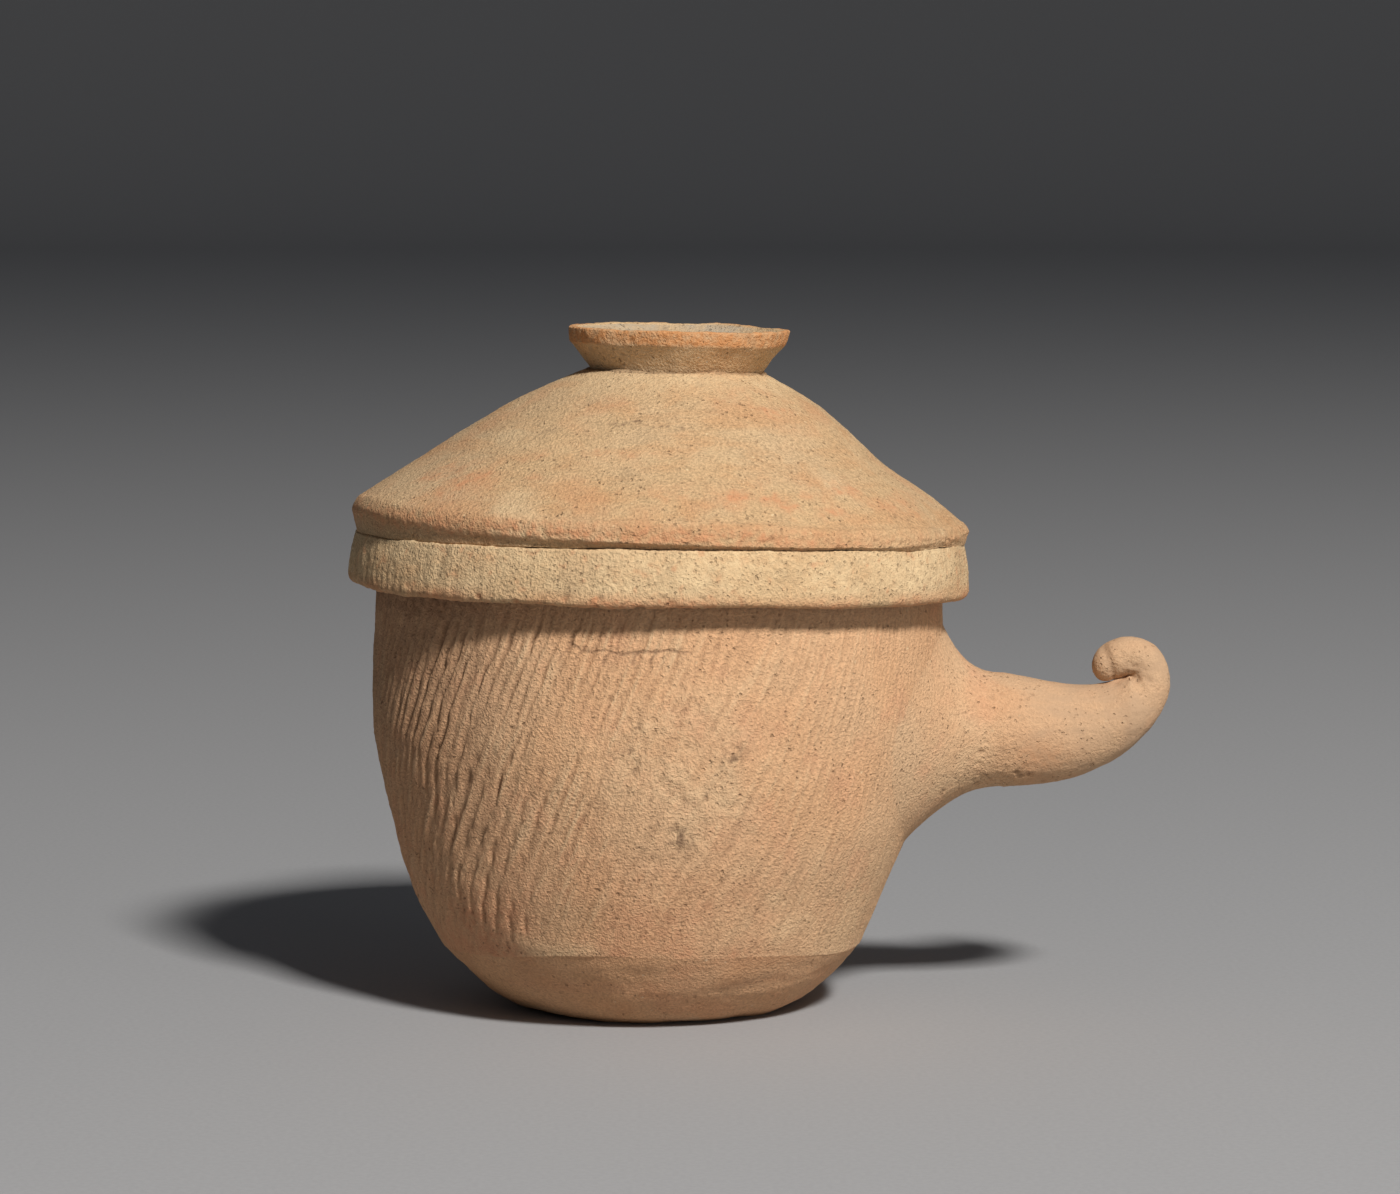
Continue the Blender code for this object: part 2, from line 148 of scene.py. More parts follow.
class ClayGrain:
    """Repeatable lattice noise for hand-worked clay, worked out as whole arrays."""

    WORD = 0xFFFFFFFF
    TEN_BITS = 1023
    AXIS_FACTORS = (73856093, 19349663, 83492791)
    SEED_FACTOR = 668265263
    ROUNDS = ((15, 739982445), (12, 695872825))
    LAST_SHIFT = 15
    SECOND_DRAW = 7919
    LAYER_SHIFT = 7.3
    GAIN = 1.5
    SMALLEST_PIT = 0.45
    PIT_POWER = 0.8
    SLOPES = np.array([s for s in itertools.product((-1, 0, 1), repeat=3) if np.abs(s).sum() == 2], float)
    CORNERS = np.array(list(itertools.product((0, 1), repeat=3)))
    NEIGHBOURS = np.array(list(itertools.product((-1, 0, 1), repeat=3)))

    def __init__(self, seed: int) -> None:
        """Keep the seed that makes this grain differ from others."""
        self.seed = seed

    def scramble(self, cells: Grid) -> Grid:
        """Mix whole-number cells into numbers that look random.

        Args:
            cells: Whole-number cells with three coordinates in the last axis.

        Returns:
            One 32-bit number for each cell.
        """
        first, second, third = self.AXIS_FACTORS
        mixed = cells[..., 0] * first ^ cells[..., 1] * second ^ cells[..., 2] * third
        mixed = (mixed ^ (self.seed * self.SEED_FACTOR)) & self.WORD
        for shift, factor in self.ROUNDS:
            mixed = ((mixed ^ (mixed >> shift)) * factor) & self.WORD
        return mixed ^ (mixed >> self.LAST_SHIFT)

    def smooth(self, points: Grid, size: float) -> Grid:
        """Gradient noise: each lattice corner has a slope, and a quintic step blends them across each cell.

        Args:
            points: Places with three coordinates in the last axis.
            size: Length of one lattice cell.

        Returns:
            Numbers from about -1 to 1.
        """
        scaled = points / size
        cells = np.floor(scaled).astype(np.int64)
        inside = scaled - cells
        weights = inside**3 * (inside * (inside * 6.0 - 15.0) + 10.0)
        total = np.zeros(points.shape[:-1])
        for corner in self.CORNERS:
            slope = self.SLOPES[self.scramble(cells + corner) % len(self.SLOPES)]
            share = np.where(corner, weights, 1.0 - weights).prod(axis=-1)
            total += share * ((inside - corner) * slope).sum(axis=-1)
        return total * self.GAIN

    def layered(self, points: Grid, size: float, layers: int = 3) -> Grid:
        """Noise with finer layers added, each half as large and half as strong.

        Args:
            points: Places with three coordinates in the last axis.
            size: Length of one lattice cell of the first layer.
            layers: How many layers are added.

        Returns:
            Numbers from about -1 to 1.
        """
        strengths = [0.5**layer for layer in range(layers)]
        shift = size * self.LAYER_SHIFT
        total = sum(strength * self.smooth(points + shift * (1.0 - strength), size * strength)
                    for strength in strengths)
        return total / math.sqrt(sum(strength**2 for strength in strengths))

    def pits(self, points: Grid, spacing: float, radius: float, share: float) -> Grid:
        """Round hollows at random places, one at most in each lattice cell.

        Args:
            points: Places with three coordinates in the last axis.
            spacing: Length of one lattice cell.
            radius: Radius of the largest hollows.
            share: Share of the cells that have a hollow.

        Returns:
            Depths from 0 outside the hollows to 1 in their middles.
        """
        scaled = points / spacing
        home = np.floor(scaled).astype(np.int64)
        deepest = np.zeros(points.shape[:-1])
        for step in self.NEIGHBOURS:
            cells = home + step
            drawn = self.scramble(cells)
            jitter = np.stack([(drawn >> shift) & self.TEN_BITS for shift in (0, 10, 20)], axis=-1)
            second = self.scramble(cells + self.SECOND_DRAW)
            chance = (second & self.TEN_BITS) / self.TEN_BITS
            size = ((second >> 10) & self.TEN_BITS) / self.TEN_BITS
            reach = radius / spacing * (self.SMALLEST_PIT + (1.0 - self.SMALLEST_PIT) * size)
            away = ((scaled - cells - jitter / self.TEN_BITS) ** 2).sum(axis=-1) / reach**2
            hollow = np.clip(1.0 - away, 0.0, 1.0) ** self.PIT_POWER * (chance < share)
            deepest = np.maximum(deepest, hollow)
        return deepest


@dataclass(frozen=True)
class Lumps:
    """Noise of one size over a piece.

    Attributes:
        size: Length of the largest lumps.
        depth: How far they stand out where they are pressed into the clay.
        layers: How many layers of noise they have.
        drawn: Scale along each axis. A number under 1 draws the lumps out along that axis.
        share: Noise at which an easing starts, and at which it is complete.
    """

    size: float
    depth: float = 0.0
    layers: int = 2
    drawn: Triple = (1.0, 1.0, 1.0)
    share: Band = (0.0, 1.0)

    def over(self, grain: ClayGrain, points: Grid) -> Grid:
        """Noise at the points, from about -1 to 1."""
        return grain.layered(points * np.array(self.drawn), self.size, self.layers)

    def pressed(self, grain: ClayGrain, points: Grid) -> Grid:
        """Noise at the points times its depth."""
        return self.depth * self.over(grain, points)

    def eased(self, grain: ClayGrain, points: Grid) -> Grid:
        """Noise at the points, eased over its share."""
        return ease(self.over(grain, points), *self.share)


@dataclass(frozen=True)
class Pitting:
    """Scattered round hollows over a piece.

    Attributes:
        spacing: Distance between the places where a hollow may lie.
        radius: Radius of the largest hollows.
        share: Share of the places that have a hollow.
        depth: How far the hollows reach in.
        shift: Shift of the places, so that two kinds of hollows don't coincide.
    """

    spacing: float
    radius: float
    share: float
    depth: float
    shift: float = 0.0

    def over(self, grain: ClayGrain, points: Grid) -> Grid:
        """Depths at the points, from 0 outside the hollows to 1 in their middles."""
        return grain.pits(points + self.shift, self.spacing, self.radius, self.share)


@dataclass(frozen=True)
class Patch:
    """Soft oval patch on the skin of a piece.

    Attributes:
        across: Where its middle lies round the piece.
        up: Where its middle lies along the profile.
        wide: Half its width.
        tall: Half its height.
        strength: Its strength in the middle.
    """

    across: float
    up: float
    wide: float
    tall: float
    strength: float = 1.0

    def over(self, across: Grid, up: Grid) -> Grid:
        """Strength at places round the piece and along its profile."""
        return self.strength * spot(across - self.across, up - self.up, self.wide, self.tall)


def mixed(recipe: dict[Mark, dict[str, float]], layers: dict[str, Grid]) -> dict[Mark, Grid]:
    """Marks of a piece: each is the sum of its layers, each times its weight in the recipe."""
    return {mark: sum(weight * layers[name] for name, weight in parts.items())
            for mark, parts in recipe.items()}


@dataclass
class ClaySurface:
    """Grid of points on a clay piece: rows follow its profile, columns run round it and join up.

    Attributes:
        points: Places of the grid, rows by columns by three.
        ring: Whether the last row joins the first. If not, the first and last rows close to a point each.
        marks: Per-point marks in the shape of the grid.
        crisp: Rows that are hard edges, such as where a piece was cut.
    """

    points: Grid
    ring: bool
    marks: dict[Mark, Grid] = field(default_factory=dict)
    crisp: tuple[int, ...] = ()

    def normals(self) -> Grid:
        """Outward unit normals: the cross product of the steps round the piece and along its profile.

        Returns:
            One normal for each point of the grid.
        """
        sideways = np.roll(self.points, -1, axis=1) - np.roll(self.points, 1, axis=1)
        if self.ring:
            along = np.roll(self.points, -1, axis=0) - np.roll(self.points, 1, axis=0)
        else:
            along = np.gradient(self.points, axis=0)
        outward = np.cross(sideways, along)
        return outward / np.maximum(np.linalg.norm(outward, axis=-1, keepdims=True), TINY)

    def raise_by(self, height: Grid) -> None:
        """Move every point along its normal by its height."""
        self.points = self.points + self.normals() * height[..., None]

    def mesh(self, name: str) -> bpy.types.Mesh:
        """Make the closed mesh of the grid, smooth shaded and with its marks as attributes.

        Args:
            name: Name of the mesh.

        Returns:
            The mesh, with faces outward.
        """
        rows, columns = self.points.shape[:2]
        index = np.arange(rows * columns).reshape(rows, columns)
        below = index if self.ring else index[:-1]
        above = np.roll(index, -1, axis=0) if self.ring else index[1:]
        quads = np.stack([below, np.roll(below, -1, 1), np.roll(above, -1, 1), above], axis=-1)
        places = self.points.reshape(-1, 3)
        layers = {mark: values.ravel() for mark, values in self.marks.items()}
        row_of = np.repeat(np.arange(rows), columns)
        fans = np.empty((0, 3), int)
        if not self.ring:
            first, last = index[1], index[-2]
            start_fan = np.stack([np.zeros(columns, int), np.roll(first, -1), first], axis=-1)
            end_fan = np.stack([last, np.roll(last, -1), np.full(columns, index[-1, 0])], axis=-1)
            fans = np.concatenate([start_fan, end_fan])
            quads = quads[1:-1]
            kept = np.concatenate([[0], np.arange(columns, (rows - 1) * columns), [index[-1, 0]]])
            places = places.copy()
            places[0] = self.points[0].mean(axis=0)
            places[index[-1, 0]] = self.points[-1].mean(axis=0)
            renumber = np.zeros(rows * columns, int)
            renumber[kept] = np.arange(len(kept))
            places, quads, fans = places[kept], renumber[quads], renumber[fans]
            layers = {mark: values[kept] for mark, values in layers.items()}
            row_of = row_of[kept]
        quads = quads.reshape(-1, 4)
        corners = np.concatenate([quads.ravel(), fans.ravel()]).astype(np.int32)
        sizes = np.concatenate([np.full(len(quads), 4), np.full(len(fans), 3)])
        starts = (np.cumsum(sizes) - sizes).astype(np.int32)
        mesh = bpy.data.meshes.new(name)
        mesh.vertices.add(len(places))
        mesh.vertices.foreach_set("co", places.astype(np.float32).ravel())
        mesh.loops.add(len(corners))
        mesh.loops.foreach_set("vertex_index", corners)
        mesh.polygons.add(len(starts))
        mesh.polygons.foreach_set("loop_start", starts)
        mesh.update(calc_edges=True)
        mesh.validate()
        mesh.shade_smooth()
        for mark, values in layers.items():
            attribute = mesh.attributes.new(mark.value, "FLOAT", "POINT")
            attribute.data.foreach_set("value", np.clip(values, 0.0, 1.0).astype(np.float32))
        ends = np.empty(2 * len(mesh.edges), np.int32)
        mesh.edges.foreach_get("vertices", ends)
        start_row, end_row = row_of[ends].reshape(-1, 2).T
        hard = (start_row == end_row) & np.isin(start_row, self.crisp)
        mesh.attributes.new("sharp_edge", "BOOLEAN", "EDGE").data.foreach_set("value", hard)
        return mesh


class NodeBench:
    """Places and wires the nodes of one clay material."""

    FLECK_RAGGED = 1.4
    FLECK_PUSH = 2.4
    FLECK_SMALLEST = 0.3
    FLECK_CORE = 0.4
    MIX_FIRST = 6
    MIX_SECOND = 7
    MIX_RESULT = 2

    def __init__(self, name: str) -> None:
        """Start an empty clay material whose textures follow the piece's own coordinates.

        Args:
            name: Name of the material.
        """
        self.material = bpy.data.materials.new(name)
        self.material.use_nodes = True
        self.tree = self.material.node_tree
        self.shader = self.tree.nodes["Principled BSDF"]
        self.place = self.tree.nodes.new("ShaderNodeTexCoord").outputs["Object"]

    def feed(self, socket: Socket, value: object) -> None:
        """Wire a socket to another socket, or set a plain number, vector or colour on it.

        Args:
            socket: Socket that gets the value.
            value: Socket, number, vector or colour.
        """
        if isinstance(value, Socket):
            self.tree.links.new(value, socket)
        elif isinstance(value, tuple) and socket.type == "RGBA":
            socket.default_value = (*value, 1.0)
        else:
            socket.default_value = value

    def mark(self, mark: Mark) -> Socket:
        """Read one of the piece's marks.

        Args:
            mark: Mark to read.

        Returns:
            Its socket.
        """
        node = self.tree.nodes.new("ShaderNodeAttribute")
        node.attribute_name = mark.value
        return node.outputs["Fac"]

    def stretched(self, scale: Triple) -> Socket:
        """Coordinates scaled differently along each axis.

        Args:
            scale: Scale along each axis.

        Returns:
            The coordinates' socket.
        """
        node = self.tree.nodes.new("ShaderNodeMapping")
        self.feed(node.inputs["Vector"], self.place)
        self.feed(node.inputs["Scale"], scale)
        return node.outputs["Vector"]

    def noise(self, size: float, detail: float = 3.0, place: Socket | None = None,
              rough: float = 0.55) -> Socket:
        """Soft noise from 0 to 1.

        Args:
            size: Length of one blotch.
            detail: How many finer layers are added.
            place: Coordinates to use in place of the piece's own.
            rough: Strength of each finer layer.

        Returns:
            The noise socket.
        """
        node = self.tree.nodes.new("ShaderNodeTexNoise")
        self.feed(node.inputs["Vector"], place or self.place)
        self.feed(node.inputs["Scale"], 1.0 / size)
        self.feed(node.inputs["Detail"], detail)
        self.feed(node.inputs["Roughness"], rough)
        return node.outputs["Fac"]

    def ragged(self, size: float, amount: float) -> Socket:
        """Coordinates pushed about by fine noise, so that grains and pores come out ragged.

        Args:
            size: Length of one blotch of the noise.
            amount: How far it pushes.

        Returns:
            The coordinates' socket.
        """
        noise = self.tree.nodes.new("ShaderNodeTexNoise")
        self.feed(noise.inputs["Vector"], self.place)
        self.feed(noise.inputs["Scale"], 1.0 / size)
        push = self.tree.nodes.new("ShaderNodeVectorMath")
        push.operation = "MULTIPLY_ADD"
        self.feed(push.inputs[0], noise.outputs["Color"])
        self.feed(push.inputs[1], (amount, amount, amount))
        self.feed(push.inputs[2], self.place)
        return push.outputs[0]

    def flecks(self, spacing: float, radius: float, share: float) -> Socket:
        """Scattered small ragged grains of many sizes.

        Args:
            spacing: Mean distance between the places where a grain may sit.
            radius: Radius of the largest grains.
            share: Share of the places that have a grain.

        Returns:
            A socket that is 1 in a grain and 0 outside.
        """
        node = self.tree.nodes.new("ShaderNodeTexVoronoi")
        self.feed(node.inputs["Vector"], self.ragged(self.FLECK_RAGGED * radius, self.FLECK_PUSH * radius))
        self.feed(node.inputs["Scale"], 1.0 / spacing)
        drawn = self.tree.nodes.new("ShaderNodeSeparateColor")
        self.feed(drawn.inputs[0], node.outputs["Color"])
        play = 1.0 - self.FLECK_SMALLEST
        size = self.sum("ADD", self.sum("MULTIPLY", drawn.outputs[1], play), self.FLECK_SMALLEST)
        away = self.sum("DIVIDE", node.outputs["Distance"], size)
        grain = self.ramp(away, radius / spacing, self.FLECK_CORE * radius / spacing)
        return self.sum("MULTIPLY", grain, self.sum("LESS_THAN", drawn.outputs[0], share))

    def ramp(self, value: Socket, low: float, high: float, start: float = 0.0,
             end: float = 1.0) -> Socket:
        """Ease a value from one range to another.

        Args:
            value: Socket to ease.
            low: Where the ramp starts.
            high: Where the ramp ends.
            start: Result at the start.
            end: Result at the end.

        Returns:
            The eased socket.
        """
        node = self.tree.nodes.new("ShaderNodeMapRange")
        node.interpolation_type = "SMOOTHSTEP"
        for name, setting in (("Value", value), ("From Min", low), ("From Max", high), ("To Min", start),
                              ("To Max", end)):
            self.feed(node.inputs[name], setting)
        return node.outputs["Result"]

    def sum(self, operation: str, first: object, second: object) -> Socket:
        """Work out a sum of two values.

        Args:
            operation: Kind of sum, such as ADD or MULTIPLY.
            first: First socket or number.
            second: Second socket or number.

        Returns:
            The result's socket.
        """
        node = self.tree.nodes.new("ShaderNodeMath")
        node.operation = operation
        self.feed(node.inputs[0], first)
        self.feed(node.inputs[1], second)
        return node.outputs[0]

    def blend(self, share: object, first: object, second: object, kind: str = "MIX") -> Socket:
        """Blend two colours.

        Args:
            share: Share of the second colour.
            first: First colour.
            second: Second colour.
            kind: How they are blended, such as MIX or MULTIPLY.

        Returns:
            The colour socket.
        """
        node = self.tree.nodes.new("ShaderNodeMix")
        node.data_type = "RGBA"
        node.blend_type = kind
        self.feed(node.inputs[0], share)
        self.feed(node.inputs[self.MIX_FIRST], first)
        self.feed(node.inputs[self.MIX_SECOND], second)
        return node.outputs[self.MIX_RESULT]


@dataclass(frozen=True)
class ClayFinish:
    """Fired clay: drifting tones, sandy grain, pores and flecks, marks of wear, stains and smudges, and
    painted shade in hollows and pores.

    Ramps give where they start and end and what they run from and to. Flecks give spacing, radius and share.
    """

    DRIFT_RAMP = (0.36, 0.66)
    FLUSH_RAMP = (0.5, 0.72, 0.0, 0.7)
    STREAK_RAMP = (0.48, 0.66, 0.0)
    STREAK_SIZE = 5.0 * MM
    STREAK_DRAWN = (0.16, 0.16, 1.0)
    MOTTLE_RAMP = (0.25, 0.75)
    MOTTLE_SIZE = 0.6 * MM
    SAND_FLECKS = (1.9 * MM, 0.42 * MM, 0.2)
    RAGGED_RAMP = (0.3, 0.7, 0.5, 1.3)
    RAGGED_SIZE = 1.8 * MM
    HANDLED_SHARE = 0.9
    HOLLOW_SHARE = 0.5
    CROWD_RAMP = (0.35, 0.7, 0.3, 1.0)
    CROWD_SIZE = 8.0 * MM
    SMALL_PORES = (1.2 * MM, 0.42 * MM)
    LARGE_PORES = (3.6 * MM, 0.7 * MM)
    LARGE_SHARE = 0.6
    PORE_RAMP = (0.0, 0.8, 0.55, 0.2)
    PORES_RUBBED = 0.3
    CRUMB_FLECKS = (1.1 * MM, 0.5 * MM, 0.65)
    CRUMB_RAMP = (0.1, 0.5, 0.0, 0.9)
    CRUMB_SHARE = 0.32
    CRUMB_DEPTH = 0.45
    PORE_DEPTH = 0.9
    ROUGH_RAMP = (0.3, 0.7, 0.82, 0.97)
    ROUGH_SIZE = 6.0 * MM
    DIFFUSE_ROUGHNESS = 0.15
    RUBBED_RAMP = (0.0, 1.0, 1.0, 0.3)

    name: str
    body: Colour
    drift: Colour
    flush: Colour
    sand: Colour
    orange: Colour
    # Dark colour for stains and smudges that also paints shade in hollows and recesses, on the wall's left
    # side and in a band under the lid.
    dirt_and_shade: Colour
    handled: Colour = (0.472, 0.304, 0.181)
    # Warm dark colour of pores and crumbs: painted shade in the pits.
    pore_shade: Colour = (0.27, 0.14, 0.07)
    drift_size: float = 30.0 * MM
    flush_size: float = 12.0 * MM
    grain_size: float = 0.6 * MM
    grain_depth: float = 0.5 * MM
    mottle: float = 0.18
    streaks: float = 0.0
    pore_share: float = 0.5
    gloss: float = 0.2

    def tones(self, bench: NodeBench) -> Socket:
        """Colour of the clay before wear: tones in patches, level streaks, fine mottling and pale grains.

        Args:
            bench: Bench of the material.

        Returns:
            The colour's socket.
        """
        drift = bench.ramp(bench.noise(self.drift_size, 4.0), *self.DRIFT_RAMP)
        colour = bench.blend(drift, self.body, self.drift)
        flush = bench.ramp(bench.noise(self.flush_size, 5.0, rough=0.6), *self.FLUSH_RAMP)
        colour = bench.blend(flush, colour, self.flush)
        if self.streaks:
            lines = bench.noise(self.STREAK_SIZE, 4.0, bench.stretched(self.STREAK_DRAWN))
            colour = bench.blend(bench.ramp(lines, *self.STREAK_RAMP, self.streaks), colour, self.flush)
        mottle = bench.noise(self.MOTTLE_SIZE, 2.0, rough=0.7)
        mottle = bench.ramp(mottle, *self.MOTTLE_RAMP, 1.0 - self.mottle, 1.0 + self.mottle)
        colour = bench.blend(1.0, colour, mottle, "MULTIPLY")
        return bench.blend(bench.flecks(*self.SAND_FLECKS), colour, self.sand)

    def material(self) -> bpy.types.Material:
        """Make the material: clay tones, then pale worn sand, orange edges, painted shade in hollows, stains
        and smudges, and painted shade in pores.

        Returns:
            The finished material.
        """
        bench = NodeBench(self.name)
        bare, hollow, rubbed = bench.mark(Mark.BARE_AND_LIGHT), bench.mark(Mark.HOLLOW), bench.mark(Mark.RUBBED)
        ragged = bench.ramp(bench.noise(self.RAGGED_SIZE, 4.0, rough=0.65), *self.RAGGED_RAMP)
        handled = bench.sum("MULTIPLY", rubbed, self.HANDLED_SHARE)
        colour = bench.blend(handled, self.tones(bench), self.handled)
        # Pale sand on bare clay; on the wall this also paints light on the lower right and highlights on each
        # furrow crest.
        colour = bench.blend(bench.sum("MULTIPLY", bare, ragged), colour, self.sand)
        # Orange on worn edges; on the wall this also paints a reddish shade tint on its left side.
        colour = bench.blend(bench.sum("MULTIPLY", bench.mark(Mark.WORN_AND_SHADE_TINT), ragged), colour, self.orange)
        # Painted shade in hollows: furrows, pits, chips, cracks and recesses get the dark colour.
        colour = bench.blend(bench.sum("MULTIPLY", hollow, self.HOLLOW_SHARE), colour, self.dirt_and_shade)
        # Stains and smudges get the dark colour; on the wall the same mark paints shade on the left side and a
        # shadow band under the lid.
        colour = bench.blend(bench.sum("MULTIPLY", bench.mark(Mark.STAIN_AND_SHADE), ragged), colour, self.dirt_and_shade)
        crowd = bench.ramp(bench.noise(self.CROWD_SIZE, 2.0), *self.CROWD_RAMP)
        pores = bench.sum("MAXIMUM", bench.flecks(*self.SMALL_PORES, self.pore_share),
                          bench.flecks(*self.LARGE_PORES, self.LARGE_SHARE * self.pore_share))
        closed = bench.sum("MULTIPLY", rubbed, self.PORES_RUBBED)
        pores = bench.sum("MULTIPLY", pores, bench.sum("SUBTRACT", crowd, closed))
        crumbled = bench.flecks(*self.CRUMB_FLECKS)
        crumbled = bench.sum("MULTIPLY", crumbled, bench.ramp(bare, *self.CRUMB_RAMP))
        # Pores and crumbs get the warm dark colour: painted shade in the pits.
        pore_share = bench.sum("MULTIPLY", pores, bench.ramp(bare, *self.PORE_RAMP))
        colour = bench.blend(pore_share, colour, self.pore_shade)
        colour = bench.blend(bench.sum("MULTIPLY", crumbled, self.CRUMB_SHARE), colour, self.pore_shade)
        pores = bench.sum("MAXIMUM", pores, bench.sum("MULTIPLY", crumbled, self.CRUMB_DEPTH))
        bench.feed(bench.shader.inputs["Base Color"], colour)
        rough = bench.ramp(bench.noise(self.ROUGH_SIZE, 3.0), *self.ROUGH_RAMP)
        bench.feed(bench.shader.inputs["Roughness"], rough)
        bench.feed(bench.shader.inputs["Specular IOR Level"], self.gloss)
        bench.feed(bench.shader.inputs["Diffuse Roughness"], self.DIFFUSE_ROUGHNESS)
        grain = bench.noise(self.grain_size, 2.0, rough=0.65)
        grain = bench.sum("MULTIPLY", grain, bench.ramp(rubbed, *self.RUBBED_RAMP))
        bump = bench.tree.nodes.new("ShaderNodeBump")
        sunk = bench.sum("MULTIPLY", pores, self.PORE_DEPTH)
        bench.feed(bump.inputs["Height"], bench.sum("SUBTRACT", grain, sunk))
        bench.feed(bump.inputs["Distance"], self.grain_depth)
        bench.feed(bench.shader.inputs["Normal"], bump.outputs["Normal"])
        return bench.material


FINISHES = {
    Slot.WALL: ClayFinish("paddled_clay", body=(0.65, 0.375, 0.198), drift=(0.645, 0.40, 0.222),
                          flush=(0.65, 0.34, 0.185), sand=(0.70, 0.48, 0.275), orange=(0.62, 0.30, 0.158),
                          dirt_and_shade=(0.17, 0.095, 0.055)),
    Slot.BASE: ClayFinish("trimmed_clay", body=(0.60, 0.337, 0.175), drift=(0.59, 0.345, 0.188),
                          flush=(0.575, 0.295, 0.155), sand=(0.66, 0.455, 0.28), orange=(0.57, 0.275, 0.13),
                          dirt_and_shade=(0.18, 0.105, 0.06), grain_depth=0.4 * MM, streaks=0.4),
    Slot.HORN: ClayFinish("smoothed_clay", body=(0.62, 0.37, 0.20), drift=(0.615, 0.395, 0.224),
                          flush=(0.62, 0.336, 0.187), sand=(0.66, 0.46, 0.265), orange=(0.56, 0.295, 0.15),
                          dirt_and_shade=(0.16, 0.09, 0.053), pore_share=0.75),
    Slot.LID: ClayFinish("sandy_clay", body=(0.552, 0.359, 0.187), drift=(0.547, 0.371, 0.206),
                         flush=(0.53, 0.295, 0.14), sand=(0.732, 0.531, 0.299), orange=(0.60, 0.292, 0.143),
                         dirt_and_shade=(0.19, 0.115, 0.065), grain_depth=0.55 * MM, mottle=0.26, streaks=0.6),
    Slot.KNOB: ClayFinish("worn_clay", body=(0.59, 0.39, 0.20), drift=(0.59, 0.41, 0.235),
                          flush=(0.57, 0.34, 0.165), sand=(0.46, 0.362, 0.25), orange=(0.58, 0.27, 0.107),
                          dirt_and_shade=(0.20, 0.125, 0.07)),
}


class Workshop:
    """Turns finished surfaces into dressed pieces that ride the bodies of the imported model."""

    def __init__(self, finishes: dict[Slot, ClayFinish]) -> None:
        """Make the materials, one for each slot."""
        self.materials = {slot: finish.material() for slot, finish in finishes.items()}

    def settle(self, name: str, surface: ClaySurface, body: Body, slot: Slot, nodes: tuple[str, ...]) -> None:
        """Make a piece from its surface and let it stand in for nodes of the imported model.

        Args:
            name: Name of the piece.
            surface: Grid of the piece.
            body: Body that the piece rides.
            slot: Material slot of the piece.
            nodes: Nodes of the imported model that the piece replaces.
        """
        piece = bpy.data.objects.new(name, surface.mesh(name))
        bpy.context.scene.collection.objects.link(piece)
        piece.data.materials.append(self.materials[slot])
        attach(piece, body.value)
        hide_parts(*nodes)
        LOG.info("%s: %d faces in place of %s", name, len(piece.data.polygons), ", ".join(nodes))


